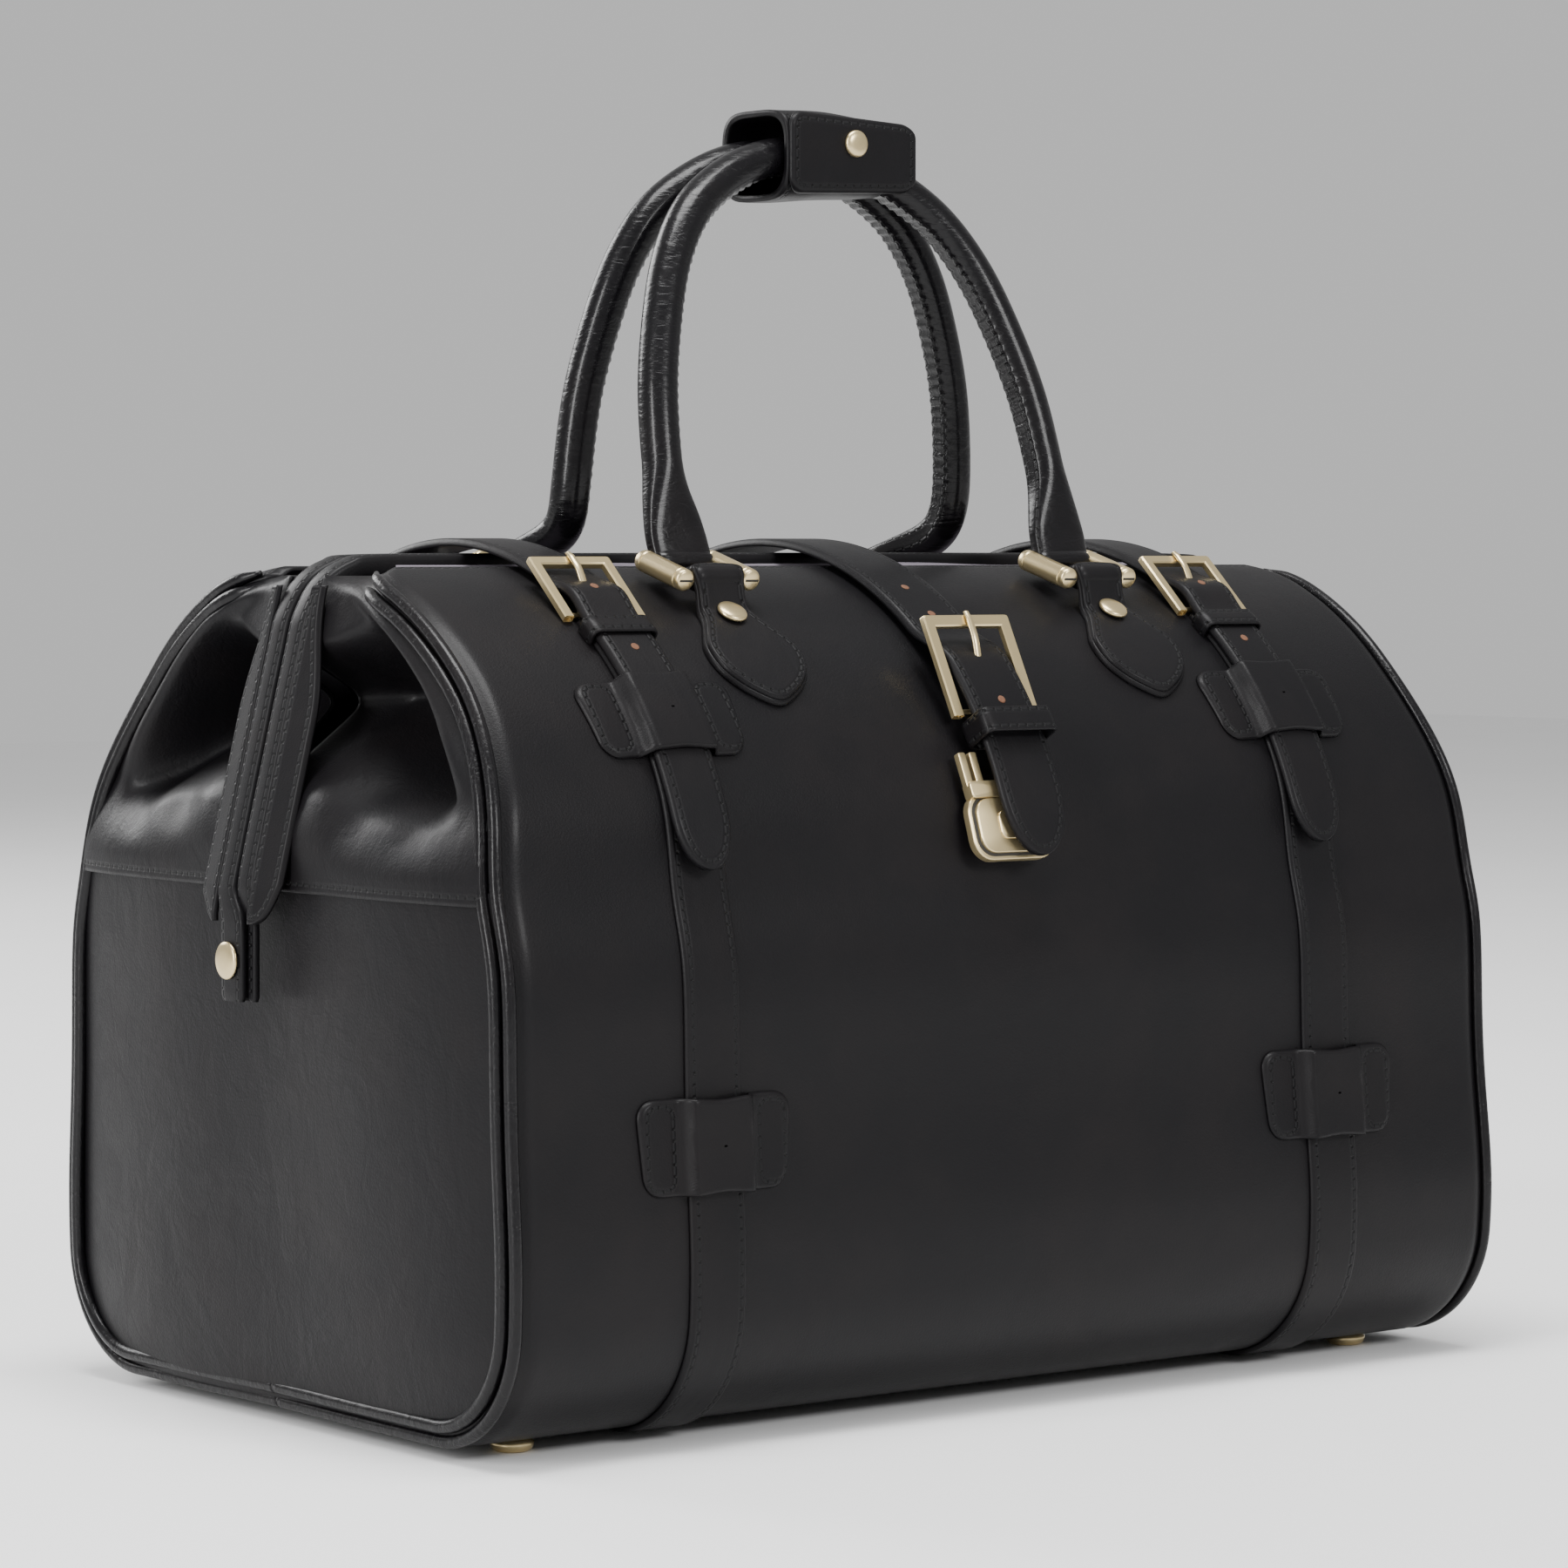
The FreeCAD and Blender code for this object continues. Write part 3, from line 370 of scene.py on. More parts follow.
def put(name, parts, finish_name, replaces=(), body=None, bend=None, sharp=None):
    """One object from parts, each (points in mm, faces, seam coordinates in m or None)."""
    all_points, all_faces, all_seams, start = [], [], [], 0
    for points, faces, seam in parts:
        points = np.asarray(points, float).reshape(-1, 3)
        faces = np.asarray(faces)
        if volume(points, faces) < 0:
            faces = faces[:, ::-1]
        if seam is None:
            seam = np.full((len(points), 2), NO_SEAM)
        all_points.append(points)
        all_faces.append(faces + start)
        all_seams.append(np.asarray(seam, float).reshape(-1, 2))
        start += len(points)
    points, seams = np.concatenate(all_points) * MM, np.concatenate(all_seams)
    faces = np.concatenate(all_faces)
    mesh = bpy.data.meshes.new(name)
    whole = faces[:, 2] != faces[:, 3]
    lists = [f if four else f[:3] for f, four in zip(faces.tolist(), whole)]
    mesh.from_pydata(points.tolist(), [], lists)
    mesh.validate()
    layer = mesh.uv_layers.new(name="seam")
    corner = np.zeros(len(mesh.loops), np.int32)
    mesh.loops.foreach_get("vertex_index", corner)
    layer.data.foreach_set("uv", seams[corner].astype(np.float32).ravel())
    mesh.polygons.foreach_set("use_smooth", np.ones(len(mesh.polygons), bool))
    mesh.update()
    if sharp:
        mesh.set_sharp_from_angle(angle=math.radians(sharp))
    made = bpy.data.objects.new(name, mesh)
    bpy.context.scene.collection.objects.link(made)
    mesh.materials.append(material(finish_name))
    if replaces:
        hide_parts(*replaces)
    if bend:
        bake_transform(made)
    else:
        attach(made, body)
    return made


def unit(ways):
    return ways / np.maximum(np.linalg.norm(ways, axis=-1, keepdims=True), 1e-9)


def normals(grid):
    """Unit normals of a grid of points, from its differences along both ways."""
    return unit(np.cross(np.gradient(grid, axis=0), np.gradient(grid, axis=1)))


def headings(path):
    return unit(np.gradient(path, axis=0))


def reaches(path):
    """Length along a path up to each of its points."""
    return np.concatenate([[0], np.cumsum(np.linalg.norm(np.diff(path, axis=0), axis=1))])


def boxy(wave, power):
    """A sine or cosine with fuller shoulders, which squares a round outline."""
    return np.sign(wave) * np.abs(wave) ** power


def around(count):
    """Cosine and sine of equal steps round a circle."""
    turn = np.linspace(0, FULL_TURN, count, endpoint=False)
    return np.cos(turn), np.sin(turn)


def level_line(half, spot, count, x0=0.0):
    """A straight path along the bag's length, through a place in depth and height."""
    xs = np.linspace(-half, half, count)
    return np.stack([x0 + xs, spot[-2] + 0 * xs, spot[-1] + 0 * xs], -1)


def sheet(outer, inner, seam=None):
    """A closed skin between two grids of the same size, with walls along all four borders."""
    rows, columns = outer.shape[:2]
    count = rows * columns
    top = quads(rows, columns)
    under = quads(rows, columns)[:, ::-1] + count
    grid = np.arange(count).reshape(rows, columns)
    border = np.concatenate([grid[0, :-1], grid[:-1, -1], grid[-1, :0:-1], grid[:0:-1, 0]])
    after = np.roll(border, -1)
    wall = np.stack([after, border, border + count, after + count], -1)
    points = np.concatenate([outer.reshape(-1, 3), inner.reshape(-1, 3)])
    coords = None
    if seam is not None:
        coords = np.concatenate([seam.reshape(-1, 2), np.full((count, 2), NO_SEAM)])
    return points, np.concatenate([top, under, wall]), coords


def tube(rings, seam=None, closed=False):
    """Rings of points carried along a path, each ring closed. The ends close to a point."""
    rows, columns = rings.shape[:2]
    points = rings.reshape(-1, 3)
    faces = quads(rows, columns, around=True, closed=closed)
    coords = None if seam is None else seam.reshape(-1, 2)
    if not closed:
        ends = np.stack([rings[0].mean(0), rings[-1].mean(0)])
        points = np.concatenate([points, ends])
        j = np.arange(columns)
        j2 = (j + 1) % columns
        last = (rows - 1) * columns
        first_fan = np.stack([j2, j, 0 * j + rows * columns, 0 * j + rows * columns], -1)
        last_fan = np.stack([last + j, last + j2, 0 * j + rows * columns + 1,
                             0 * j + rows * columns + 1], -1)
        faces = np.concatenate([faces, first_fan, last_fan])
        if coords is not None:
            coords = np.concatenate([coords, np.full((2, 2), NO_SEAM)])
    return points, faces, coords


def smooth(low, high, value):
    t = np.clip((np.asarray(value, float) - low) / (high - low), 0, 1)
    return t * t * (3 - 2 * t)


def bell(centre, width, value):
    return np.exp(-((np.asarray(value, float) - centre) / width) ** 2)


def waves(a, b, seed, low=0.02, high=0.06, count=9):
    """A soft uneven surface from -1 to 1: a sum of sine waves in seeded directions."""
    pick = np.random.default_rng(seed)
    total = 0.0
    for turn, rate, phase in zip(pick.uniform(0, math.pi, count), pick.uniform(low, high, count),
                                 pick.uniform(0, 2 * math.pi, count)):
        total = total + np.sin(rate * (a * math.cos(turn) + b * math.sin(turn)) + phase)
    return total / count ** 0.5 / 1.5


def edge_map(flat, outline, inset):
    """Length along a closed outline and depth inside it less an inset, both in metres, for flat
    points: the nearest point of the outline's segments, signed by an even-odd count."""
    shape_in = flat.shape[:-1]
    p = flat.reshape(-1, 2)[:, None, :]
    a = outline[None]
    b = np.roll(outline, -1, axis=0)[None]
    span = b - a
    size = np.maximum((span ** 2).sum(-1), 1e-12)
    t = np.clip(((p - a) * span).sum(-1) / size, 0, 1)
    gap = np.linalg.norm(p - (a + t[..., None] * span), axis=-1)
    near = gap.argmin(1)
    pick = np.arange(len(near))
    lengths = np.concatenate([[0], np.cumsum(np.sqrt(size[0]))])[:-1]
    along = lengths[near] + t[pick, near] * np.sqrt(size[0])[near]
    cross = (a[..., 1] > p[..., 1]) != (b[..., 1] > p[..., 1])
    with np.errstate(divide="ignore", invalid="ignore"):
        reach = (b[..., 0] - a[..., 0]) * (p[..., 1] - a[..., 1]) / (b[..., 1] - a[..., 1]) \
            + a[..., 0]
    inside = ((cross & (p[..., 0] < reach)).sum(1) % 2) == 1
    depth = np.where(inside, gap[pick, near], -gap[pick, near])
    return (np.stack([along, depth - inset], -1) * MM).reshape(*shape_in, 2)


def rounded_box_outline(half_x, half_y, corner, count=10, middle=(0.0, 0.0)):
    """Outline of a rectangle with round corners, counter-clockwise."""
    turn = np.linspace(0, math.pi / 2, count)
    parts = []
    for k, (sx, sy) in enumerate(((1, 1), (-1, 1), (-1, -1), (1, -1))):
        a = turn + k * math.pi / 2
        parts.append(np.stack([sx * (half_x - corner) + corner * np.cos(a),
                               sy * (half_y - corner) + corner * np.sin(a)], -1))
    return np.concatenate(parts) + np.array(middle)


def even(points, count, closed=False):
    """The same path in equal steps."""
    points = np.asarray(points, float)
    if closed:
        points = np.concatenate([points, points[:1]])
    reach = reaches(points)
    at = np.linspace(0, reach[-1], count, endpoint=not closed)
    return np.stack([np.interp(at, reach, points[:, k]) for k in range(points.shape[1])], -1)


def flowing(points, count, closed=False):
    """A smooth curve through points: Catmull-Rom pieces, then equal steps."""
    p = np.asarray(points, float)
    if closed:
        p = np.concatenate([p[-1:], p, p[:2]])
    else:
        p = np.concatenate([2 * p[:1] - p[1:2], p, 2 * p[-1:] - p[-2:-1]])
    t = np.linspace(0, 1, 24, endpoint=False)[None, :, None]
    a, b, c, d = (p[k:len(p) - 3 + k][:, None, :] for k in range(4))
    curve = 0.5 * (2 * b + (c - a) * t + (2 * a - 5 * b + 4 * c - d) * t ** 2
                   + (3 * b - a - 3 * c + d) * t ** 3)
    curve = curve.reshape(-1, p.shape[1])
    if not closed:
        curve = np.concatenate([curve, p[-2:-1]])
    return even(curve, count, closed)


def spread(count, edge=0.35):
    """Places from -1 to 1 that crowd towards both ends."""
    q = np.linspace(-1, 1, count)
    return (1 - edge) * q + edge * np.sin(q * math.pi / 2)


# ---------------------------------------------------------------- the bag's own surface

def profile(t):
    """A panel's outline seen from the end, by length from the middle of the bottom: a flat, a
    round corner, an upright wall and an arc about the hinge line. Gives distance out, height
    and the outward direction."""
    t = np.asarray(t, float)
    a = np.clip((t - FLAT) / CORNER, 0, math.pi / 2)
    b = np.clip((t - FLAT - TURN - WALL) / RADIUS, 0, math.pi)
    out = np.minimum(t, FLAT) + CORNER * np.sin(a) - RADIUS * (1 - np.cos(b))
    up = BOTTOM + CORNER * (1 - np.cos(a)) + np.clip(t - FLAT - TURN, 0, WALL) \
        + RADIUS * np.sin(b)
    return out, up, np.where(b > 0, np.cos(b), np.sin(a)), np.where(b > 0, np.sin(b), -np.cos(a))


def at_height(z):
    return FLAT + TURN + (z - BOTTOM - CORNER)


def at_angle(degrees):
    return FLAT + TURN + WALL + RADIUS * np.radians(degrees)


def half_length(t):
    """Half the panel's length: full below the shoulders, then drawn in towards the mouth, with
    a round corner at the top."""
    b = np.degrees(np.clip((t - FLAT - TURN - WALL) / RADIUS, 0, math.pi))
    k = np.clip((b - 66) / 10.5, 0, 0.98)
    return HALF_LENGTH - 10.5 * smooth(10, 46, b) - 16 * (1 - np.sqrt(1 - k ** 2))


def swell(x, t):
    """How far the leather stands off its plain outline: a low belly, a waist under the
    shoulders and slow waves, all fading at the mouth and at the bottom."""
    out, up, _, _ = profile(t)
    belly = mm(shape().belly) * bell(66, 44, up) * (1 + 0.25 * np.tanh(x / 120)) \
        * smooth(0, 60, out)
    waist = mm(shape().waist) * bell(203, 24, up) * smooth(100, 130, out)
    ripple = 0.9 * waves(x, t, 11, 0.012, 0.03) * smooth(FLAT, FLAT + 60, t) \
        * (1 - smooth(at_angle(8), at_angle(26), t))
    return belly - waist + ripple


def mm(length):
    return length / MM


def on_panel(face, x, t, lift=0.0):
    """A point on the front (face 1) or back (face -1): place along the bag, length up the
    outline from the middle of the bottom, and height off the leather."""
    out, up, go_out, go_up = profile(t)
    off = swell(x, t) + lift
    y = -face * (out + go_out * off)
    z = up + go_up * off
    return np.stack(np.broadcast_arrays(x + 0.0 * off, y, z), -1)


def on_arc(face, x, degrees, radius):
    """A point about the hinge line."""
    turn = np.radians(degrees)
    return np.stack(np.broadcast_arrays(
        x + 0.0 * turn, -face * radius * np.cos(turn), HINGE + radius * np.sin(turn)), -1)


def seated(face, x, degrees, radius, tilt=0.0):
    """A maker of points in a fitting's own directions: across, up the shoulder and outwards."""
    turn, lean = math.radians(degrees), math.radians(degrees - tilt)
    spot = np.array([x, -face * radius * math.cos(turn), HINGE + radius * math.sin(turn)])
    up_way = np.array([0, face * math.sin(lean), math.cos(lean)])
    out_way = np.array([0, -face * math.cos(lean), math.sin(lean)])

    def place(p):
        p = np.asarray(p, float)
        return spot + p[..., :1] * np.array([1.0, 0, 0]) + p[..., 1:2] * up_way \
            + p[..., 2:] * out_way
    return place


# ---------------------------------------------------------------- parts made of leather or metal

def slab_patch(outline, place, thick, inset=None, rise=None, middle=None, rings=9, edge=3.0,
               under=0.1, stitch_outlines=None):
    """A flat cut piece laid on something: rings shrink from its outline to its middle, and the
    top rounds down to the edge. Rise adds height at flat points, for what lies under it."""
    outline = np.asarray(outline, float)
    middle = outline.mean(0) if middle is None else np.array(middle)
    size = np.abs(outline - middle).max()
    steps = 1 - np.array([0, 0.12, 0.35, 0.8, 1.6, 3.0]) / size
    share = np.concatenate([steps, np.linspace(steps[-1], 0.02, rings)[1:]])
    depth = (1 - share) * size
    crown = 1 - (1 - np.clip(depth / min(edge, thick), 0, 1)) ** 2.5
    flat = middle + share[:, None, None] * (outline - middle)[None]
    lift = rise(flat) if rise else 0.0
    top = np.concatenate([flat, (under + (thick - under) * (0.25 + 0.75 * crown))[:, None, None]
                          + 0 * flat[..., :1]], -1)
    low = np.concatenate([flat, np.full(flat.shape[:2] + (1,), under)], -1)
    top[..., 2] += lift
    low[..., 2] += lift
    stack = np.concatenate([top[::-1], low], 0)
    points = place(stack)
    coords = None
    if inset is not None:
        lines = stitch_outlines or [outline]
        maps = [edge_map(flat, line, inset) for line in lines]
        best = maps[0]
        for other in maps[1:]:
            best = np.where(other[..., 1:] > best[..., 1:], other, best)
        coords = np.concatenate([best[::-1], np.full(best.shape, NO_SEAM)], 0)
    return tube(points, coords)


def band(path_at, starts, ends, half_at, thick, rows=160, columns=17, inset=None, lift=0.0,
         tip=0.0):
    """A strap: at each length along it, a crowned row of points across. path_at gives a point
    from across, along and lift; half_at gives half the width by length."""
    s = np.linspace(starts, ends, rows)
    if tip:
        close = np.linspace(0, 1, rows // 3) ** 2
        s = np.concatenate([np.linspace(starts, ends - tip, rows - rows // 3, endpoint=False),
                            ends - tip * close[::-1]])
    half = half_at(s)
    q = spread(columns, 0.6)
    across = q[None, :] * half[:, None]
    along = np.broadcast_to(s[:, None], across.shape)
    depth = (1 - np.abs(q))[None, :] * half[:, None]
    crown = 1 - (1 - np.clip(depth / 1.6, 0, 1)) ** 2.2
    top = path_at(across, along, lift + thick * (0.28 + 0.72 * crown))
    low = path_at(across, along, lift + 0 * crown)
    coords = None
    if inset is not None:
        edge = np.concatenate([np.stack([half, s], -1), np.stack([-half, s], -1)[::-1]])
        edge = even(edge, 700, closed=True)
        coords = edge_map(np.stack([across, along], -1), edge, inset)
    return sheet(top, low, coords)


def turned(points, spot, axis, count=32):
    """A shape spun about an axis: points are (distance along, radius)."""
    axis = unit(np.asarray(axis, float))
    side = unit(np.cross(axis, [0.31, 0.93, 0.2]))
    points = np.asarray(points, float)
    c, s = around(count)
    ring = c[:, None] * side + s[:, None] * np.cross(axis, side)
    return tube(np.asarray(spot) + points[:, :1, None] * axis
                + np.maximum(points[:, 1:, None], 0.02) * ring[None])


def dome(radius, height, edge=0.5, steps=7):
    """Outline of a low dome with a rounded rim, for turned()."""
    turn = np.linspace(0, math.pi / 2, steps)
    rise = np.stack([edge + (height - edge) * np.sin(turn), radius * np.cos(turn) ** 0.6], -1)
    return np.concatenate([[[0.0, 0.0], [0.0, radius * 0.96], [edge * 0.5, radius]], rise])


def rod(path, radius, count=16, level=(0.13, 0.21, 0.97)):
    """A round bar along a path. Level is a direction that the path never runs along."""
    path = np.asarray(path, float)
    go = headings(path)
    side = unit(np.cross(go, np.array(level)))
    other = np.cross(go, side)
    c, s = around(count)
    radius = np.broadcast_to(radius, len(path))[:, None, None]
    return path[:, None] + radius * (c[None, :, None] * side[:, None]
                                     + s[None, :, None] * other[:, None])


def buckle_bar(place, outer_x, low_y, high_y, side, height, base, chamfer=0.55):
    """Three sides of a square frame: a chamfered bar's outline carried up one side, over two
    mitred corners and down the other. All in a fitting's own directions."""
    c = chamfer
    cut = np.array([[0, c], [c, 0], [side - c, 0], [side, c], [side, height - c],
                    [side - c, height], [c, height], [0, height - c]])
    rows = []
    for inward, up in cut:
        x, y = outer_x - inward, high_y - inward
        k = max(1.0 - inward * 0.2, 0.3)
        path = [(-x, low_y), (-x, low_y + 0.4), (-x, y - k), (-x + 0.3 * k, y - 0.3 * k),
                (-x + k, y), (x - k, y), (x - 0.3 * k, y - 0.3 * k), (x, y - k),
                (x, low_y + 0.4), (x, low_y)]
        rows.append([(a, b, base + up) for a, b in path])
    return tube(place(np.array(rows).transpose(1, 0, 2)))


def box_bar(place, low, high, chamfer=0.3):
    """A plain block with chamfered edges, in a fitting's own directions."""
    low, high = np.array(low, float), np.array(high, float)
    mid, half = (low + high) / 2, (high - low) / 2
    c = min(chamfer, *(half * 0.9))
    levels = [(-half[2], c), (-half[2] + c, 0), (half[2] - c, 0), (half[2], c)]
    rings = []
    for h, pull in levels:
        path = rounded_box_outline(half[0] - pull, half[1] - pull, c * 0.8 + 0.05, 3)
        rings.append(np.concatenate([path, np.full((len(path), 1), h)], -1))
    return tube(place(np.stack(rings) + mid))


# ---------------------------------------------------------------- operators

class BagOperator(bpy.types.Operator):
    """Builds one group of the bag's pieces."""

    bl_idname = "doctor_bag.piece"
    bl_label = "Bag piece"

    def execute(self, context):
        self.make()
        return {"FINISHED"}


class MakePanels(BagOperator):
    """Front and back panels, each one hide from under the bag up to the mouth"""

    bl_idname = "doctor_bag.panels"
    bl_label = "Panels"

    def make(self):
        top = at_angle(MOUTH_EDGE)
        low, high = at_height(60), at_angle(64)
        for face, name in FACES:
            t = np.concatenate([np.linspace(0, FLAT, 24, endpoint=False),
                                np.linspace(FLAT, low, 26, endpoint=False),
                                np.linspace(low, high, 96, endpoint=False),
                                np.linspace(high, top, 26)])
            half = half_length(t)[:, None]
            x = spread(129, 0.5)[None, :] * half
            tt = t[:, None] + 0 * x
            roll = -3.0 * smooth(half - 8, half, np.abs(x)) ** 1.6
            lip = -1.2 * smooth(top - 3, top, tt) ** 2
            outer = on_panel(face, x, tt, roll + lip)
            inner = on_panel(face, x, tt, roll - 2.9)
            seam = np.stack([x, top - 4.5 - tt], -1) * MM
            put(f"{name}_panel", [sheet(outer, inner, seam)], "panel hide",
                [f"{name}_panel_{part}" for part in ("lower", "fold", "upper")],
                bend=f"{name}_frame")


class MakePipings(BagOperator):
    """Two corded rolls round each end of both panels"""

    bl_idname = "doctor_bag.pipings"
    bl_label = "Pipings"

    def make(self):
        top = at_angle(MOUTH_EDGE - 1.5)
        t = np.linspace(0, top, 230)
        fade = 0.45 + 0.55 * smooth(0, 10, top - t)
        for face, name in FACES:
            parts = []
            for side in (-1, 1):
                for out, lift, radius in ((1.4, -2.4, 2.5), (3.3, -8.0, 2.7)):
                    path = on_panel(face, side * (half_length(t) + out), t, lift)
                    parts.append(tube(rod(path, radius * fade, 14, (1, 0, 0))))
            nodes = ["front_piping_upper", "lower_piping"] if face > 0 else ["rear_piping_upper"]
            put(f"{name}_pipings", parts, "piping hide", nodes,
                bend=f"{name}_frame")


def arm_x(z):
    """Outer side of a frame arm by height."""
    return np.interp(z, [158, 190, 200, 300, 318], [260.5, 260.2, 258.4, 234.0, 229.6])


def arc_depth(z):
    """Distance from the middle to a panel's inside at a height."""
    low = FLAT + np.sqrt(np.clip(CORNER ** 2 - (BOTTOM + CORNER - np.minimum(z, BOTTOM + CORNER))
                                 ** 2, 0, None))
    high = np.sqrt(np.clip(RADIUS ** 2 - np.clip(z - HINGE, 0, RADIUS) ** 2, 0, None))
    return np.where(z < BOTTOM + CORNER, low, high)


def end_crown(y, z):
    """Length of the bag at a place on its lower end walls, which swell out from their edges:
    fifth powers of the share of the way to the pipings and to the bottom."""
    q = np.clip(np.abs(y) / (arc_depth(z) - 5.5), 0, 1)
    low = np.clip(1 - (z - 6) / 55, 0, 1)
    return HALF_LENGTH + 1.5 + 9.0 * (1 - q ** 5) * (1 - low ** 3) ** 0.7


class MakeEndWalls(BagOperator):
    """End walls: a flat lower half with its cross seam, and pleated quarters above"""

    bl_idname = "doctor_bag.end_walls"
    bl_label = "End walls"

    def make(self):
        for side, side_name in SIDES:
            self.lower(side, side_name)
            for face, name in FACES:
                self.quarter(side, side_name, face, name)

    def lower(self, side, side_name):
        """Depth across the bag is a share of the outline's, and length is the end's crown."""
        z = np.concatenate([np.linspace(BOTTOM + 2.4, 50, 34, endpoint=False),
                            np.linspace(50, SEAM_HEIGHT, 84)])
        q = spread(101, 0.5)
        y = q[None, :] * (arc_depth(z)[:, None] - 5.5)
        zz = z[:, None] + 0 * y
        folds = 1.6 * waves(y, zz * 0.35, 5 + side, 0.02, 0.06) * (1 - q[None, :] ** 6)
        x = end_crown(y, zz) + mm(shape().slack) * folds
        outer = np.stack([side * x, y, zz], -1)
        inner = np.stack([side * (x - 2.6), y, zz], -1)
        put(f"{side_name}_end_wall", [sheet(outer, inner)], "end hide",
            [f"{side_name}_gusset_lower"], body="root")

    def quarter(self, side, side_name, face, name):
        """Rows are level: from the piping in to the frame arm, pushed in behind a ridge that
        follows the piping. The hollow has a soft floor and a steep roof."""
        z = np.linspace(SEAM_HEIGHT - SEAM_LAP, 314.5, 92)[:, None]
        share = np.linspace(0, 1, 84)[None, :]
        u = 0.5 * share + 0.5 * share ** 1.3
        edge_y = np.sqrt((RADIUS - 5.0) ** 2 - (z - HINGE) ** 2) \
            - mm(shape().waist) * bell(203, 24, z)
        y = edge_y + (12.0 - edge_y) * u
        angle = np.degrees(np.arcsin((z - HINGE) / (RADIUS - 5.0)))
        edge_x = half_length(at_angle(angle)) + 1.2
        plain = edge_x + (arm_x(z) - 4.5 - edge_x) * smooth(0.25, 1.0, u)
        from_edge = edge_y - y
        ridge = smooth(17, 37, from_edge) * (1 - 0.30 * smooth(14, 0, y - 12.0))
        sway = 2.5 * np.sin(y * 0.06 + side + face)
        floor = smooth(218 + 15 * u + sway, 260 + 14 * u + sway, z)
        roof = 1 - smooth(284 - 20 * u, 309 - 20 * u, z)
        hollow = mm(shape().pleat) * ridge * floor * roof
        lip = 5.5 * bell(15, 8, from_edge) * floor * (1 - smooth(296, 314, z))
        fan = 1.6 * np.sin(from_edge * 0.16 + (z - 240) * 0.055) * bell(228, 20, z) \
            * smooth(20, 50, from_edge)
        slack = mm(shape().slack) * waves(y, z, 31 + 2 * side + face, 0.03, 0.09)
        fade = smooth(0, 10, from_edge) * smooth(SEAM_HEIGHT - 4, SEAM_HEIGHT + 16, z)
        low = 1 - smooth(SEAM_HEIGHT + 2, SEAM_HEIGHT + 34, z)
        x = plain - hollow + lip + (fan + slack) * fade
        x = x * (1 - low) + (end_crown(y, z) + 2.4) * low
        outer = np.stack([side * x, -face * y, z + 0 * y], -1)
        n = normals(outer)
        if (n[..., 0] * side).mean() < 0:
            n = -n
        seam = np.stack([-face * y, z - SEAM_HEIGHT + 1.8 + 0 * y], -1) * MM
        put(f"{name}_{side_name}_end_pleat", [sheet(outer, outer - 2.0 * n, seam)], "end hide",
            [f"{name}_{side_name}_gusset_upper"], body=f"{name}_frame")


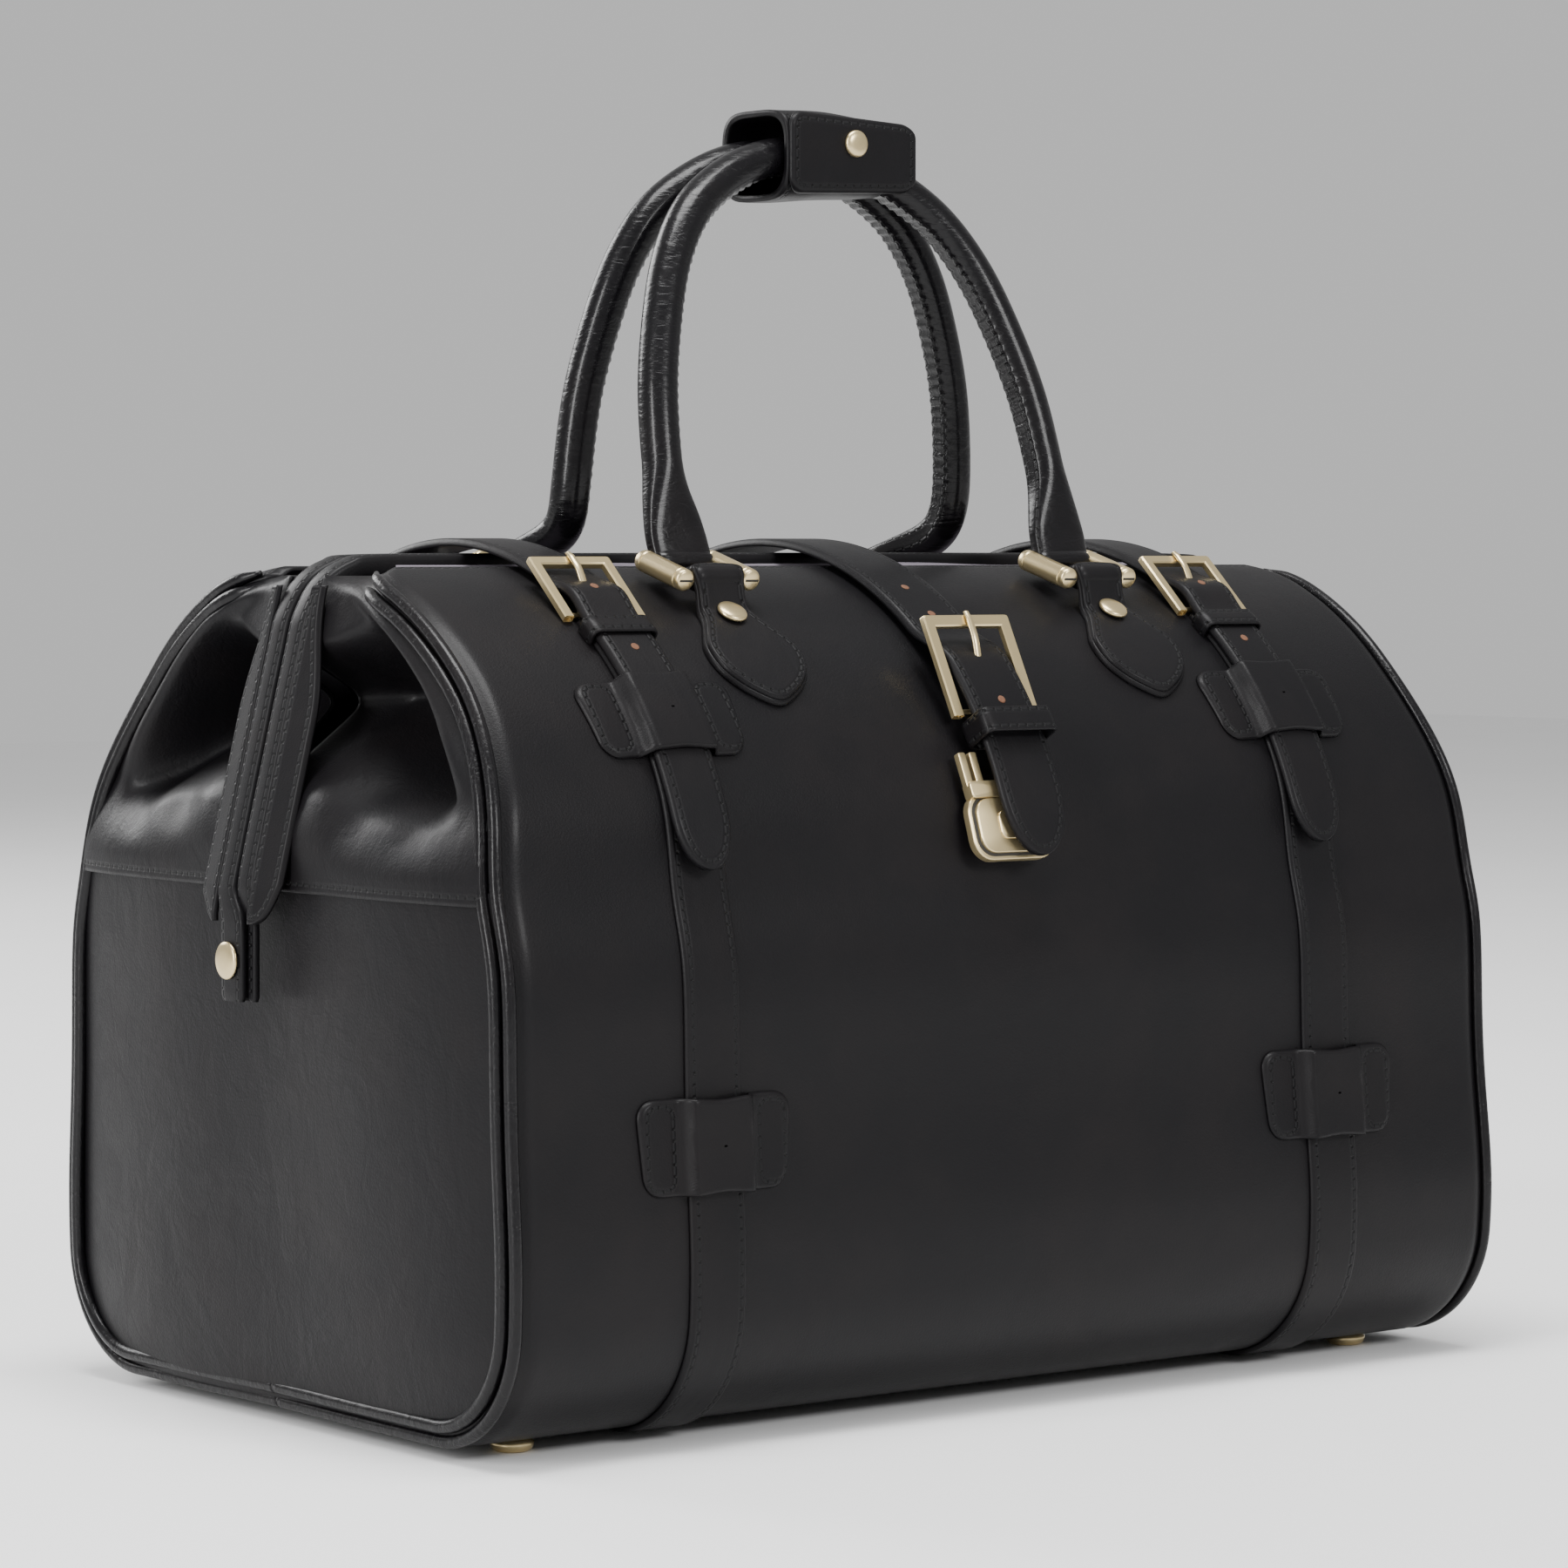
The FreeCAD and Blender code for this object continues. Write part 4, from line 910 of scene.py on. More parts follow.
class MakeMouth(BagOperator):
    """Leather-covered mouth frames with their hinge tongues, and the flaps sewn beside them"""

    bl_idname = "doctor_bag.mouth"
    bl_label = "Mouth frames"

    def make(self):
        for face, name in FACES:
            self.cover(face, name)
            self.flaps(face, name)

    def cover(self, face, name):
        """A rounded strip carried up one arm, along the rim and down the other. At the hinge it
        thins to a tongue, the back one over the front one."""
        inner = 0.0 if face < 0 else 3.7
        foot = [(260.5 - inner, z) for z in (158, 172, 186)]
        rise = [(259.6 - inner * 0.5, 196), (256.9, 207), (247.2, 247), (237.2, 287),
                (233.2, 301), (225.5, 313), (213.5, 320.3), (198.0, RIM_TOP),
                (120, RIM_TOP + 0.3), (60, RIM_TOP + 0.4), (0, RIM_TOP + 0.4)]
        right = flowing(foot + rise, 200)
        path = np.concatenate([right, right[-2::-1] * [-1, 1]])
        go = headings(path)
        out = np.stack([go[:, 1], -go[:, 0]], -1)
        low = 1 - smooth(186, 202, path[:, 1])
        thick = 9.5 * (1 - low) + 3.3 * low
        centre = 6.1 * (1 - low) + (6.1 if face > 0 else -1.0) * low
        width = 5.6 * (1 - low) + (5.3 if face > 0 else 7.3) * low
        c, s = around(28)
        across, depth = boxy(c, 0.42), boxy(s, 0.55)
        y = -face * centre[:, None] + width[:, None] * across
        inward = (thick[:, None] / 2) * (1 - depth)
        x3 = path[:, :1] - out[:, :1] * inward
        z3 = path[:, 1:] - out[:, 1:] * inward
        edge = np.minimum(np.abs(across - 1), np.abs(across + 1)) * width[:, None]
        seam = np.stack([reaches(path)[:, None] + 0 * edge,
                         np.where(s[None] > 0.2, edge - 2.2, -10)], -1) * MM
        rings = np.stack([x3, y, z3], -1)
        for end in (0, -1):
            middle = rings[end].mean(0)
            rings[end] = middle + (rings[end] - middle) * 0.86
        put(f"{name}_frame_leather", [tube(rings, seam)], "strap hide",
            [f"{name}_frame_cover", f"{name}_frame_steel"], body=f"{name}_frame")

    def flaps(self, face, name):
        """Sewn strips beside the arms, widest at mid height, with a cut end at the bottom."""
        parts = []
        for side in (-1, 1):
            def spot(across, z, lift, side=side):
                y = 11.0 + across
                x = arm_x(z) - 2.2 - 0.20 * across + lift
                return np.stack([side * x, -face * y, z], -1)
            s = np.linspace(187, 311, 130)
            wide = 15.0 * smooth(180, 190, s) * (1 - 0.55 * smooth(262, 308, s))
            if face > 0:
                wide = wide * np.sqrt(np.clip((s - 186) / 16, 0.02, 1) ** 0.7)
            else:
                wide = wide * np.clip(0.25 + (s - 187) / 14, 0, 1)
            q = (spread(15, 0.6) + 1) / 2
            across = q[None, :] * wide[:, None]
            along = s[:, None] + 0 * across
            depth = np.minimum(q, 1 - q)[None, :] * wide[:, None]
            crown = 1 - (1 - np.clip(depth / 1.4, 0, 1)) ** 2.2
            outline = np.concatenate([np.stack([wide, s], -1), np.stack([0 * wide, s], -1)[::-1]])
            seam = edge_map(np.stack([across, along], -1), even(outline, 500, True), 2.4)
            parts.append(sheet(spot(across, along, 2.4 * (0.3 + 0.7 * crown)),
                               spot(across, along, 0 * crown), seam))
        put(f"{name}_frame_flaps", parts, "strap hide", [],
            body=f"{name}_frame")


class MakeLining(BagOperator):
    """Woven lining inside the shoulders and the strips between the panels and the frames"""

    bl_idname = "doctor_bag.lining"
    bl_label = "Lining"

    def make(self):
        for face, name in FACES:
            t = np.linspace(at_height(108), at_angle(74), 70)[:, None]
            half = half_length(t) - 9
            x = half * np.linspace(-1, 1, 60)[None, :]
            outer = on_panel(face, x, t + 0 * x, -3.3)
            inner = on_panel(face, x, t + 0 * x, -4.3)
            a = on_arc(face, 0.0, np.array([75.0]), RADIUS - 2.6)[0]
            u = np.linspace(0, 1, 14)[:, None]
            xs = 194.0 * np.linspace(-1, 1, 90)[None, :]
            y = a[1] + (-face * FRAME_EDGE - a[1]) * u + 0 * xs
            z = a[2] + (RIM_TOP - 3.5 - a[2]) * u - 3.2 * np.sin(np.pi * u) \
                + 0.7 * waves(xs, u * 30, 8, 0.04, 0.1)
            strip = np.stack([xs + 0 * u, y, z], -1)
            below = strip - [0, 0, 1.4]
            put(f"{name}_lining", [sheet(outer, inner), sheet(strip, below)], "lining",
                [f"{name}_mouth_lining"], bend=f"{name}_frame")


class MakeStraps(BagOperator):
    """The two side straps and the centre strap that run over the mouth, and their holes"""

    bl_idname = "doctor_bag.straps"
    bl_label = "Straps over the mouth"

    def make(self):
        holes = []
        for side, name in SIDES:
            x0 = side * STRAP_X
            place = self.over(x0, side_radius)
            length = math.radians(SEWN_END - 13.7) * STRAP_IN
            put(f"{name}_strap_leather",
                [band(place, 0, length, lambda s, n=length: strap_half(s, n, SIDE_STRAP),
                      STRAP_THICK, rows=230, inset=mm(shape().inset), tip=14)],
                "strap hide", [f"{name}_strap"], body="rear_frame")
            for degrees in (71.0, 60.4, 48.2):
                holes.append(self.hole(x0, degrees, float(side_radius(degrees)) + STRAP_THICK))

        def radius(a):
            return STRAP_IN + 7.0 * smooth(52, 42.5, a)
        length = math.radians(SEWN_END - 13.2) * STRAP_IN
        put("centre_strap_leather",
            [band(self.over(0.0, radius), 0, length,
                  lambda s, n=length: strap_half(s, n, CENTRE_STRAP), STRAP_THICK, rows=260,
                  inset=mm(shape().inset), tip=16)],
            "strap hide", ["centre_strap"], body="rear_frame")
        for degrees in (61.5, 54.5, 35.6):
            holes.append(self.hole(0.0, degrees, float(radius(degrees)) + STRAP_THICK))
        put("strap_holes", holes, "raw hide", [], body="rear_frame")

    def over(self, x0, radius):
        """Across, length from the sewn end over the top to the tip, and lift."""
        def place(across, along, lift):
            degrees = SEWN_END - np.degrees(along / STRAP_IN)
            return on_arc(1, x0 + across, degrees, radius(degrees) + lift)
        return place

    def hole(self, x0, degrees, radius):
        place = seated(1, x0, degrees, radius)
        return turned([[-0.6, 0.0], [-0.6, 1.5], [0.12, 1.7], [0.16, 1.1], [0.10, 0.0]],
                      place([0, 0, 0]), place([0, 0, 1]) - place([0, 0, 0]), 14)


def side_radius(degrees):
    """Inside of a side strap: seated on the shoulder, lifting over the pin of its buckle."""
    return STRAP_IN + 3.2 * bell(59.6, 3.6, degrees)


def strap_half(s, length, half):
    """Half the width of a strap that is square at one end and a rounded point at the other."""
    k = np.clip((length - s) / (half * 1.7), 0, 1)
    return half * np.maximum(np.sqrt(1 - (1 - k) ** 2.2) ** 0.95, 0.02)


class MakeSewnStraps(BagOperator):
    """Straps sewn flat to the panels, from under the bag up to the buckles"""

    bl_idname = "doctor_bag.sewn_straps"
    bl_label = "Sewn straps"

    def make(self):
        for face, name, top in ((1, "front", 55.8), (-1, "rear", 74.0)):
            parts = []
            for side in (-1, 1):
                def place(across, along, lift, x0=side * STRAP_X):
                    return on_panel(face, x0 + across, along, 0.1 + lift)
                parts.append(band(place, 0.4, at_angle(top),
                                  lambda s: np.full(np.shape(s), SIDE_STRAP), 2.0, rows=300,
                                  inset=mm(shape().inset)))
            nodes = ["left_lower_strap", "right_lower_strap", "left_chape", "right_chape"] \
                if face > 0 else ["rear_strap_ends"]
            put(f"{name}_sewn_straps", parts, "strap hide", nodes,
                bend=f"{name}_frame")


class MakeLoops(BagOperator):
    """Wide sewn loops and narrow keepers that hold the straps down"""

    bl_idname = "doctor_bag.loops"
    bl_label = "Loops and keepers"

    def make(self):
        self.wide("upper", 36.75, "front_frame", 16.3, 6.0)
        self.wide("lower", None, "root", 17.5, 3.2, step=2.0)
        place = [seated(1, s * STRAP_X, 52.5, RADIUS) for s in (-1, 1)]
        put("side_strap_keepers", [self.keeper(p, SIDE_STRAP, 5.6, 4.6) for p in place],
            "strap hide", ["side_keepers"], body="front_frame")
        centre = seated(1, 0, 31.6, RADIUS)
        put("centre_strap_keeper", [self.keeper(centre, CENTRE_STRAP, 12.6, 5.2, 4.0)],
            "strap hide", ["centre_keeper"], body="rear_frame")

    def wide(self, level, degrees, body, half_y, bridge, step=0.0):
        """A rounded patch that rises over the strap in the middle, sewn all round at each end."""
        parts = []
        for side in (-1, 1):
            x0 = side * STRAP_X
            outline = rounded_box_outline(33.5, half_y, 7.5, 9)
            outline[:, 0] *= 1 + 0.05 * outline[:, 1] / half_y
            outline = even(outline, 128, closed=True)
            outline[:, 1] *= 1 - 0.05 * smooth(14, 0, np.abs(outline[:, 0]))

            def rise(flat):
                return bridge * smooth(17.5, 12.8, np.abs(flat[..., 0])) \
                    + step * smooth(14.8, 12.6, np.abs(flat[..., 0]))

            def place(p, x0=x0):
                if degrees is None:
                    return on_panel(1, x0 + p[..., 0], at_height(111) + p[..., 1], p[..., 2])
                turn = degrees + np.degrees(p[..., 1] / RADIUS)
                return on_arc(1, x0 + p[..., 0], turn, RADIUS + p[..., 2])
            ends = [rounded_box_outline(8.4, half_y, 6.5, 8, (s * 25.1, 0)) for s in (-1, 1)]
            parts.append(slab_patch(outline, place, 2.3, 2.6, rise, (0, 0), 26,
                                    stitch_outlines=ends))
        put(f"{level}_strap_loops", parts, "strap hide", [f"{level}_loops"],
            body=body)

    def keeper(self, place, half, height, reach, base=0.0, thick=1.9):
        """A flat band bent into a loop about the strap, sewn along both of its edges."""
        path = rounded_box_outline(half + 0.6 + thick / 2, (height + thick) / 2, 2.6, 8,
                                   (0, base + height / 2))
        path = even(path, 96, closed=True)
        go = unit(np.roll(path, -1, 0) - np.roll(path, 1, 0))
        out = np.stack([go[:, 1], -go[:, 0]], -1)
        c, s = around(20)
        along = reach * boxy(c, 0.4)
        off = thick / 2 * boxy(s, 0.6)
        rings = np.stack([path[:, None, 0] + out[:, None, 0] * off + 0 * along,
                          along[None] + 0 * path[:, None, 0],
                          path[:, None, 1] + out[:, None, 1] * off], -1)
        length = np.arange(len(path)) * np.linalg.norm(path[1] - path[0])
        edge = reach - np.abs(along)
        seam = np.stack([length[:, None] + 0 * edge[None],
                         np.where(s > 0.2, edge - 1.7, -10)[None] + 0 * length[:, None]], -1) * MM
        return tube(place(rings), seam, closed=True)


class MakeBuckles(BagOperator):
    """Three square buckles of bevelled brass bar with their prongs"""

    bl_idname = "doctor_bag.buckles"
    bl_label = "Buckles"

    def make(self):
        for name, x, degrees, radius, tilt, length, half, bar in (
                *((name, side * STRAP_X, 57.0, 151.4, 9.5, 30.0, 18.3, 4.2)
                  for side, name in SIDES),
                ("centre", 0.0, 35.3, 155.6, 8.0, 40.0, 21.0, 4.8)):
            place = seated(1, x, degrees, radius, tilt)
            parts = [buckle_bar(place, half, -2.4, length, bar, 3.2, -0.9),
                     tube(place(rod(level_line(half - 1, (0, 0), 12), 1.0)))]
            put(f"{name}_buckle_brass", parts, "brass", [f"{name}_buckle_frame"],
                body=f"{name}_buckle", sharp=24)
            y = np.linspace(-1.4, length + 0.9, 30)
            rise = 3.4 * smooth(length * 0.35, length * 0.80, y) \
                - 0.7 * smooth(length - 2, length + 0.9, y)
            wide = 1.6 - 0.35 * smooth(length - 6, length + 1, y)
            path = np.stack([0 * y, y, rise], -1)
            c, s = around(14)
            rings = path[:, None] + np.stack(np.broadcast_arrays(
                c[None] * wide[:, None], 0.0, s[None] * 0.95), -1)
            put(f"{name}_buckle_tongue", [tube(place(rings))], "brass",
                [f"{name}_buckle_prong"], body=f"{name}_prong")
        place = seated(1, 0, 33.0, RADIUS + 3.0)
        patch = slab_patch(rounded_box_outline(13, 9, 2.5, 6), place, 2.4, 2.2, None, (0, 0), 8)
        put("centre_buckle_tab", [patch], "strap hide", ["centre_chape"],
            body="rear_frame")


class MakeLock(BagOperator):
    """Press lock: a plate, a stepped body, its button and the forked hasp with its collar"""

    bl_idname = "doctor_bag.lock"
    bl_label = "Lock"

    def make(self):
        place = seated(1, 0, 18.0, RADIUS)
        case = (-7.5, 0)
        parts = [self.plate(place, 19.5, 13, 8, 1.2, 4.6, 0.9, case),
                 self.plate(place, 17.0, 10.6, 6.4, 4.5, 6.4, 0.7, case)]
        put("lock_case", parts, "brass", ["lock_body", "lock_plate_back"],
            body="front_frame", sharp=35)
        groove = self.plate(place, 18.2, 11.7, 7.2, 4.4, 4.9, 0.1, case)
        put("lock_case_groove", [groove], "shadow gap", [], body="front_frame")
        button = self.plate(place, 12, 5.5, 3.0, 5.2, 7.2, 0.5, (-3, 0))
        put("lock_press_button", [button], "brass", ["lock_button"],
            body="lock_button", sharp=35)
        hasp = seated(1, 0, 24.5, RADIUS)
        bars = [self.plate(hasp, 18, 3.4, 1.4, 2.2, 7.0, 0.6, (-7, -3.6))]
        for side in (-1, 1):
            for off in (11.5, 16.7):
                middle = (side * off - 7, 4.8)
                bars.append(self.plate(hasp, 1.7, 7.0, 0.8, 3.0, 5.8, 0.5, middle))
        put("lock_hasp_brass", bars, "brass", ["lock_hasp"], body="rear_frame",
            sharp=35)

    def plate(self, place, half_x, half_y, corner, low, high, edge, middle=(0, 0)):
        """A rounded plate with a softened upper edge."""
        rings = [rounded_box_outline(half_x, half_y, corner, 8, middle)] * 2
        rings += [rounded_box_outline(half_x - edge * k, half_y - edge * k,
                                      max(corner - edge * k, 0.3), 8, middle)
                  for k in (0.1, 0.4, 1.0)]
        heights = [low, high - edge, high - edge * 0.5, high - edge * 0.15, high]
        stack = np.stack([np.concatenate([r, np.full((len(r), 1), h)], -1)
                          for r, h in zip(rings, heights)])
        return tube(place(stack))


class MakeTabs(BagOperator):
    """Pointed tabs that hold the handle rings, with a sewn rim and a rivet"""

    bl_idname = "doctor_bag.tabs"
    bl_label = "Ring tabs"

    def make(self):
        for face, name in FACES:
            tabs, studs = [], []
            for side in (-1, 1):
                x0 = side * HANDLE_X
                outline = self.outline()

                def place(p, x0=x0):
                    return on_arc(face, x0 + p[..., 0],
                                  RING_ANGLE + np.degrees(p[..., 1] / RADIUS), RADIUS + p[..., 2])

                def rise(flat):
                    return 11.0 * smooth(-13.0, 1.0, flat[..., 1])
                tabs.append(slab_patch(outline, place, 2.3, None, rise, (0, -28), 8, edge=1.2))
                inner = outline * 0.955 + np.array([0, -28]) * 0.045
                tabs.append(slab_patch(inner, place, 4.1, 2.3, rise, (0, -28), 22, edge=1.4,
                                       under=2.0))
                size = 5.2 * (1 - 0.35 * np.abs(np.linspace(-1, 1, 30)) ** 10)
                roll = level_line(10.8, on_ring(face, 0), 30, x0)
                tabs.append(tube(rod(roll, size, 24)))
                seat = seated(face, x0, 55.4, RADIUS + 4.9)
                studs.append(turned(dome(5.9, 2.3, 0.8), seat([0, 0, 0]),
                                    seat([0, 0, 1]) - seat([0, 0, 0]), 36))
            put(f"{name}_ring_tabs", tabs, "strap hide", [f"{name}_tabs"],
                body=f"{name}_frame")
            put(f"{name}_tab_studs", studs, "brass", [f"{name}_tab_rivets"],
                body=f"{name}_frame")

    def outline(self):
        """A neck, shoulders and a rounded point, as a smooth closed curve."""
        right = [(10.9, 4), (11.0, -6), (12.8, -16), (17.0, -24), (20.6, -31), (21.4, -38),
                 (19.4, -45.5), (14.5, -52), (8.0, -57), (2.4, -59.8)]
        left = [(-x, y) for x, y in right[::-1]]
        return flowing(right + left, 150, closed=True)


def on_ring(face, share):
    """Place on a ring, from its bar in the tab (0) to the handle's bar (1)."""
    a, b = np.array([0, *RING_BAR]), np.array([0, *HANDLE_BAR])
    return (a + (b - a) * share) * [1, face, 1]


class MakeRings(BagOperator):
    """Rectangular rings: two thick barrels with slotted ends and two thin bars"""

    bl_idname = "doctor_bag.rings"
    bl_label = "Rings"

    def make(self):
        barrel = [[-3.6, 0], [-3.6, 3.2], [-3.2, 3.9], [-2.5, 4.2], [-1.0, 4.25], [-0.7, 3.8],
                  [-0.4, 3.8], [-0.1, 4.25], [12.0, 4.25], [21.0, 4.25], [21.3, 3.8],
                  [21.7, 3.8], [22.0, 4.25], [24.0, 4.2], [24.8, 3.8], [25.2, 3.1], [25.2, 0]]
        for face, name in FACES:
            parts, slots = [], []
            way = unit(on_ring(face, 1) - on_ring(face, 0))
            cross = np.cross(way, [1.0, 0, 0])
            for side in (-1, 1):
                for edge in (-RING_LEG, RING_LEG):
                    spot = on_ring(face, 0) + [side * HANDLE_X + edge, 0, 0]
                    parts.append(turned(barrel, spot, way, 28))

                    def slot_place(p, spot=spot):
                        return spot + p[..., :1] * np.array([1.0, 0, 0]) + p[..., 1:2] * way \
                            + p[..., 2:] * cross
                    slots.append(box_bar(slot_place, (-3.0, -3.75, -0.45), (3.0, -3.3, 0.45),
                                         0.1))
                for share in (0, 1):
                    bar = level_line(RING_LEG, on_ring(face, share), 12, side * HANDLE_X)
                    parts.append(tube(rod(bar, 2.5, 16)))
            put(f"{name}_ring_brass", parts, "brass", [f"{name}_rings"],
                body=f"{name}_rings", sharp=40)
            put(f"{name}_ring_slots", slots, "shadow gap", [], body=f"{name}_rings")


class MakeHandles(BagOperator):
    """Rolled handles with flattened ends, their sewn inner seam, and the wrap that joins them"""

    bl_idname = "doctor_bag.handles"
    bl_label = "Handles"

    def make(self):
        self.handle("front", 1, [HANDLE_BAR, (-54.5, 326), (-51, 337), (-46.5, 352),
                                 (-37.5, 384), (-27, 418), (-17.5, 449), (-11, 470), (-9, 480)])
        self.handle("rear", -1, [(-HANDLE_BAR[0], HANDLE_BAR[1]), (50, 321.5), (38, 325),
                                 (25, 329.5), (17, 337), (13.5, 352), (12.0, 384), (11, 418),
                                 (10, 449), (9.3, 470), (9, 480)])
        self.wrap()

    def handle(self, name, face, lean):
        """Round leather roll along an arch. Near each ring it flattens, widens and folds round
        the ring's bar."""
        lean = flowing(lean, 200)
        arch = flowing([(HANDLE_X, HANDLE_BAR[1]), (95.2, 332), (95.6, 352), (92.4, 384),
                        (85.0, 412), (75.2, 436), (61.5, 455), (43.5, 468), (23, 476.5),
                        (0, 479.6)], 200)
        arch_z = np.maximum.accumulate(arch[:, 1])
        y = np.interp(arch_z, lean[:, 1], lean[:, 0])
        right = np.stack([arch[:, 0], y, arch_z], -1)
        path = even(np.concatenate([right, right[-2::-1] * [-1, 1, 1]]), 300)
        path[:, 0] += 2.2 * smooth(340, 440, path[:, 2])
        reach = reaches(path)
        from_end = np.minimum(reach, reach[-1] - reach)
        go = headings(path)
        side = unit(np.array([0, 1.0, 0]) - go * go[:, 1:2])
        out = np.cross(side, go)
        tab = 1 - smooth(8, 42, from_end)
        wide = HANDLE_RADIUS + 5.4 * tab
        deep = HANDLE_RADIUS - 3.6 * tab
        power = 1 - 0.42 * tab[:, None]
        c, s = (wave[None] for wave in around(40))
        rings = path[:, None] + out[:, None] * (wide[:, None] * boxy(c, power))[..., None] \
            + side[:, None] * (deep[:, None] * boxy(s, power))[..., None]
        outwards = np.where(np.abs(path[:, 0]) > 1, np.sign(path[:, 0]), 0.0)
        inner = c * np.sign(out[:, 0] * outwards + out[:, 2])[:, None]
        pinch = bell(-1.0, 0.22, inner) * (1 - tab[:, None]) * smooth(30, 70, from_end)[:, None]
        pull = 0.55 * np.sin(reach[:, None] * 1.35) * pinch - 0.9 * bell(-1.0, 0.06, inner) \
            * (1 - tab[:, None])
        rings += (rings - path[:, None]) / HANDLE_RADIUS * pull[..., None]
        half_way = math.pi * HANDLE_RADIUS
        round_way = np.linspace(0, 2 * half_way, 40, endpoint=False)[None]
        inner_at = np.where(inner[:, :1] < 0, 0.0, half_way)
        gap = np.abs((round_way - inner_at + half_way) % (2 * half_way) - half_way)
        seam = np.stack([reach[:, None] + 0 * gap, gap - 3.2], -1) * MM
        parts = [tube(rings, seam)]
        for x0 in (-HANDLE_X, HANDLE_X):
            size = 5.3 * (1 - 0.3 * np.abs(np.linspace(-1, 1, 30)) ** 8)
            roll = level_line(12.6, on_ring(face, 1), 30, x0)
            parts.append(tube(rod(roll, size, 24)))
        put(f"{name}_handle_leather", parts, "handle hide",
            [f"{name}_handle"], body=f"{name}_handle")

    def wrap(self):
        """A sleeve of soft leather: a rounded oblong carried along X, open at both ends, with a
        flap that closes over the front."""
        left, right = WRAP
        x = np.linspace(left, right, 44)[:, None]
        k = (x - left) / (right - left)
        c, s = around(96)
        low, high = 461.6 + 4.6 * k ** 2, 497.4 - 3.6 * k ** 2
        mid, half = (low + high) / 2, (high - low) / 2
        deep = 21.3 - 0.8 * k + 0.25 * np.sin(x * 0.25)
        end = 1 - 0.10 * (bell(0, 0.012, k) + bell(1, 0.012, k))
        y = -deep * boxy(c, 0.50)
        z = mid + half * boxy(s, 0.60) + 0.5 * np.sin(x * 0.11 + 2 * c)
        outer = np.stack([x + 0 * y, y * (0.985 + 0.015 * end), z], -1)
        inner = np.stack([x + 0 * y, y * 0.88, mid + (z - mid) * 0.86], -1)
        both = np.concatenate([outer, inner[::-1]])
        edge = np.minimum(x - left, right - x)
        girth = np.linspace(0, 20 * FULL_TURN, 96, endpoint=False)
        seam_out = np.stack(np.broadcast_arrays(girth, edge - 3.0), -1) * MM
        seam = np.concatenate([seam_out, np.full(seam_out.shape, NO_SEAM)])
        sleeve = tube(both, seam, closed=True)
        flap_outline = rounded_box_outline(32.0, 16.2, 6.5, 9, (16.1, 0))

        def place(p):
            k = np.clip((p[..., 0] - left) / (right - left), 0, 1)
            z = 479.8 + p[..., 1] * (1 - 0.18 * k ** 2) - 0.4 * k
            curl = np.clip((np.abs(p[..., 1]) - 11) / 6, 0, 1) ** 2
            y = -(21.4 - 0.8 * k) + 2.4 * curl - p[..., 2]
            return np.stack([p[..., 0], y, z], -1)
        flap = slab_patch(flap_outline, place, 1.9, 3.0, None, (16.1, 0), 16, edge=1.4)
        put("handle_wrap_leather", [sleeve, flap], "strap hide",
            ["handle_wrap"], body="front_handle")
        stud = turned(dome(5.4, 2.6, 0.8), (16.2, -22.9, 484), (0, -1, 0), 40)
        put("handle_wrap_stud", [stud], "brass", ["wrap_snap"], body="front_handle")


class MakeStuds(BagOperator):
    """Hinge rivets and the feet under the bag"""

    bl_idname = "doctor_bag.studs"
    bl_label = "Rivets and feet"

    def make(self):
        rivet = np.concatenate([[[-3, 0], [-3, 3.0], [0, 3.0]], dome(7.0, 2.1, 0.7)[1:]])
        rivets = [turned(rivet, (side * 260.9, 0, HINGE), (side, 0, 0), 40) for side in (-1, 1)]
        put("hinge_rivet_heads", rivets, "brass", ["hinge_rivets"], body="root")
        shape_of_foot = [[0, 0], [0, 4.8], [0.25, 6.2], [0.9, 7.2], [2.2, 7.9], [3.6, 8.0],
                         [4.2, 7.2], [5.2, 7.0], [5.4, 0]]
        feet = [turned(shape_of_foot, (x, y, 0), (0, 0, 1), 40)
                for x in (-207, 207) for y in (-105, 105)]
        put("brass_feet", feet, "brass", ["feet"], body="root")


class MakeHidden(BagOperator):
    """Gives the parts inside the bag that stay as packed their board and lining material"""

    bl_idname = "doctor_bag.hidden"
    bl_label = "Inner parts"

    def make(self):
        for node, finish_name in (("base_board", "board"), ("body_lining", "lining")):
            mesh = frame["nodes"][node].data
            mesh.materials.clear()
            mesh.materials.append(material(finish_name))


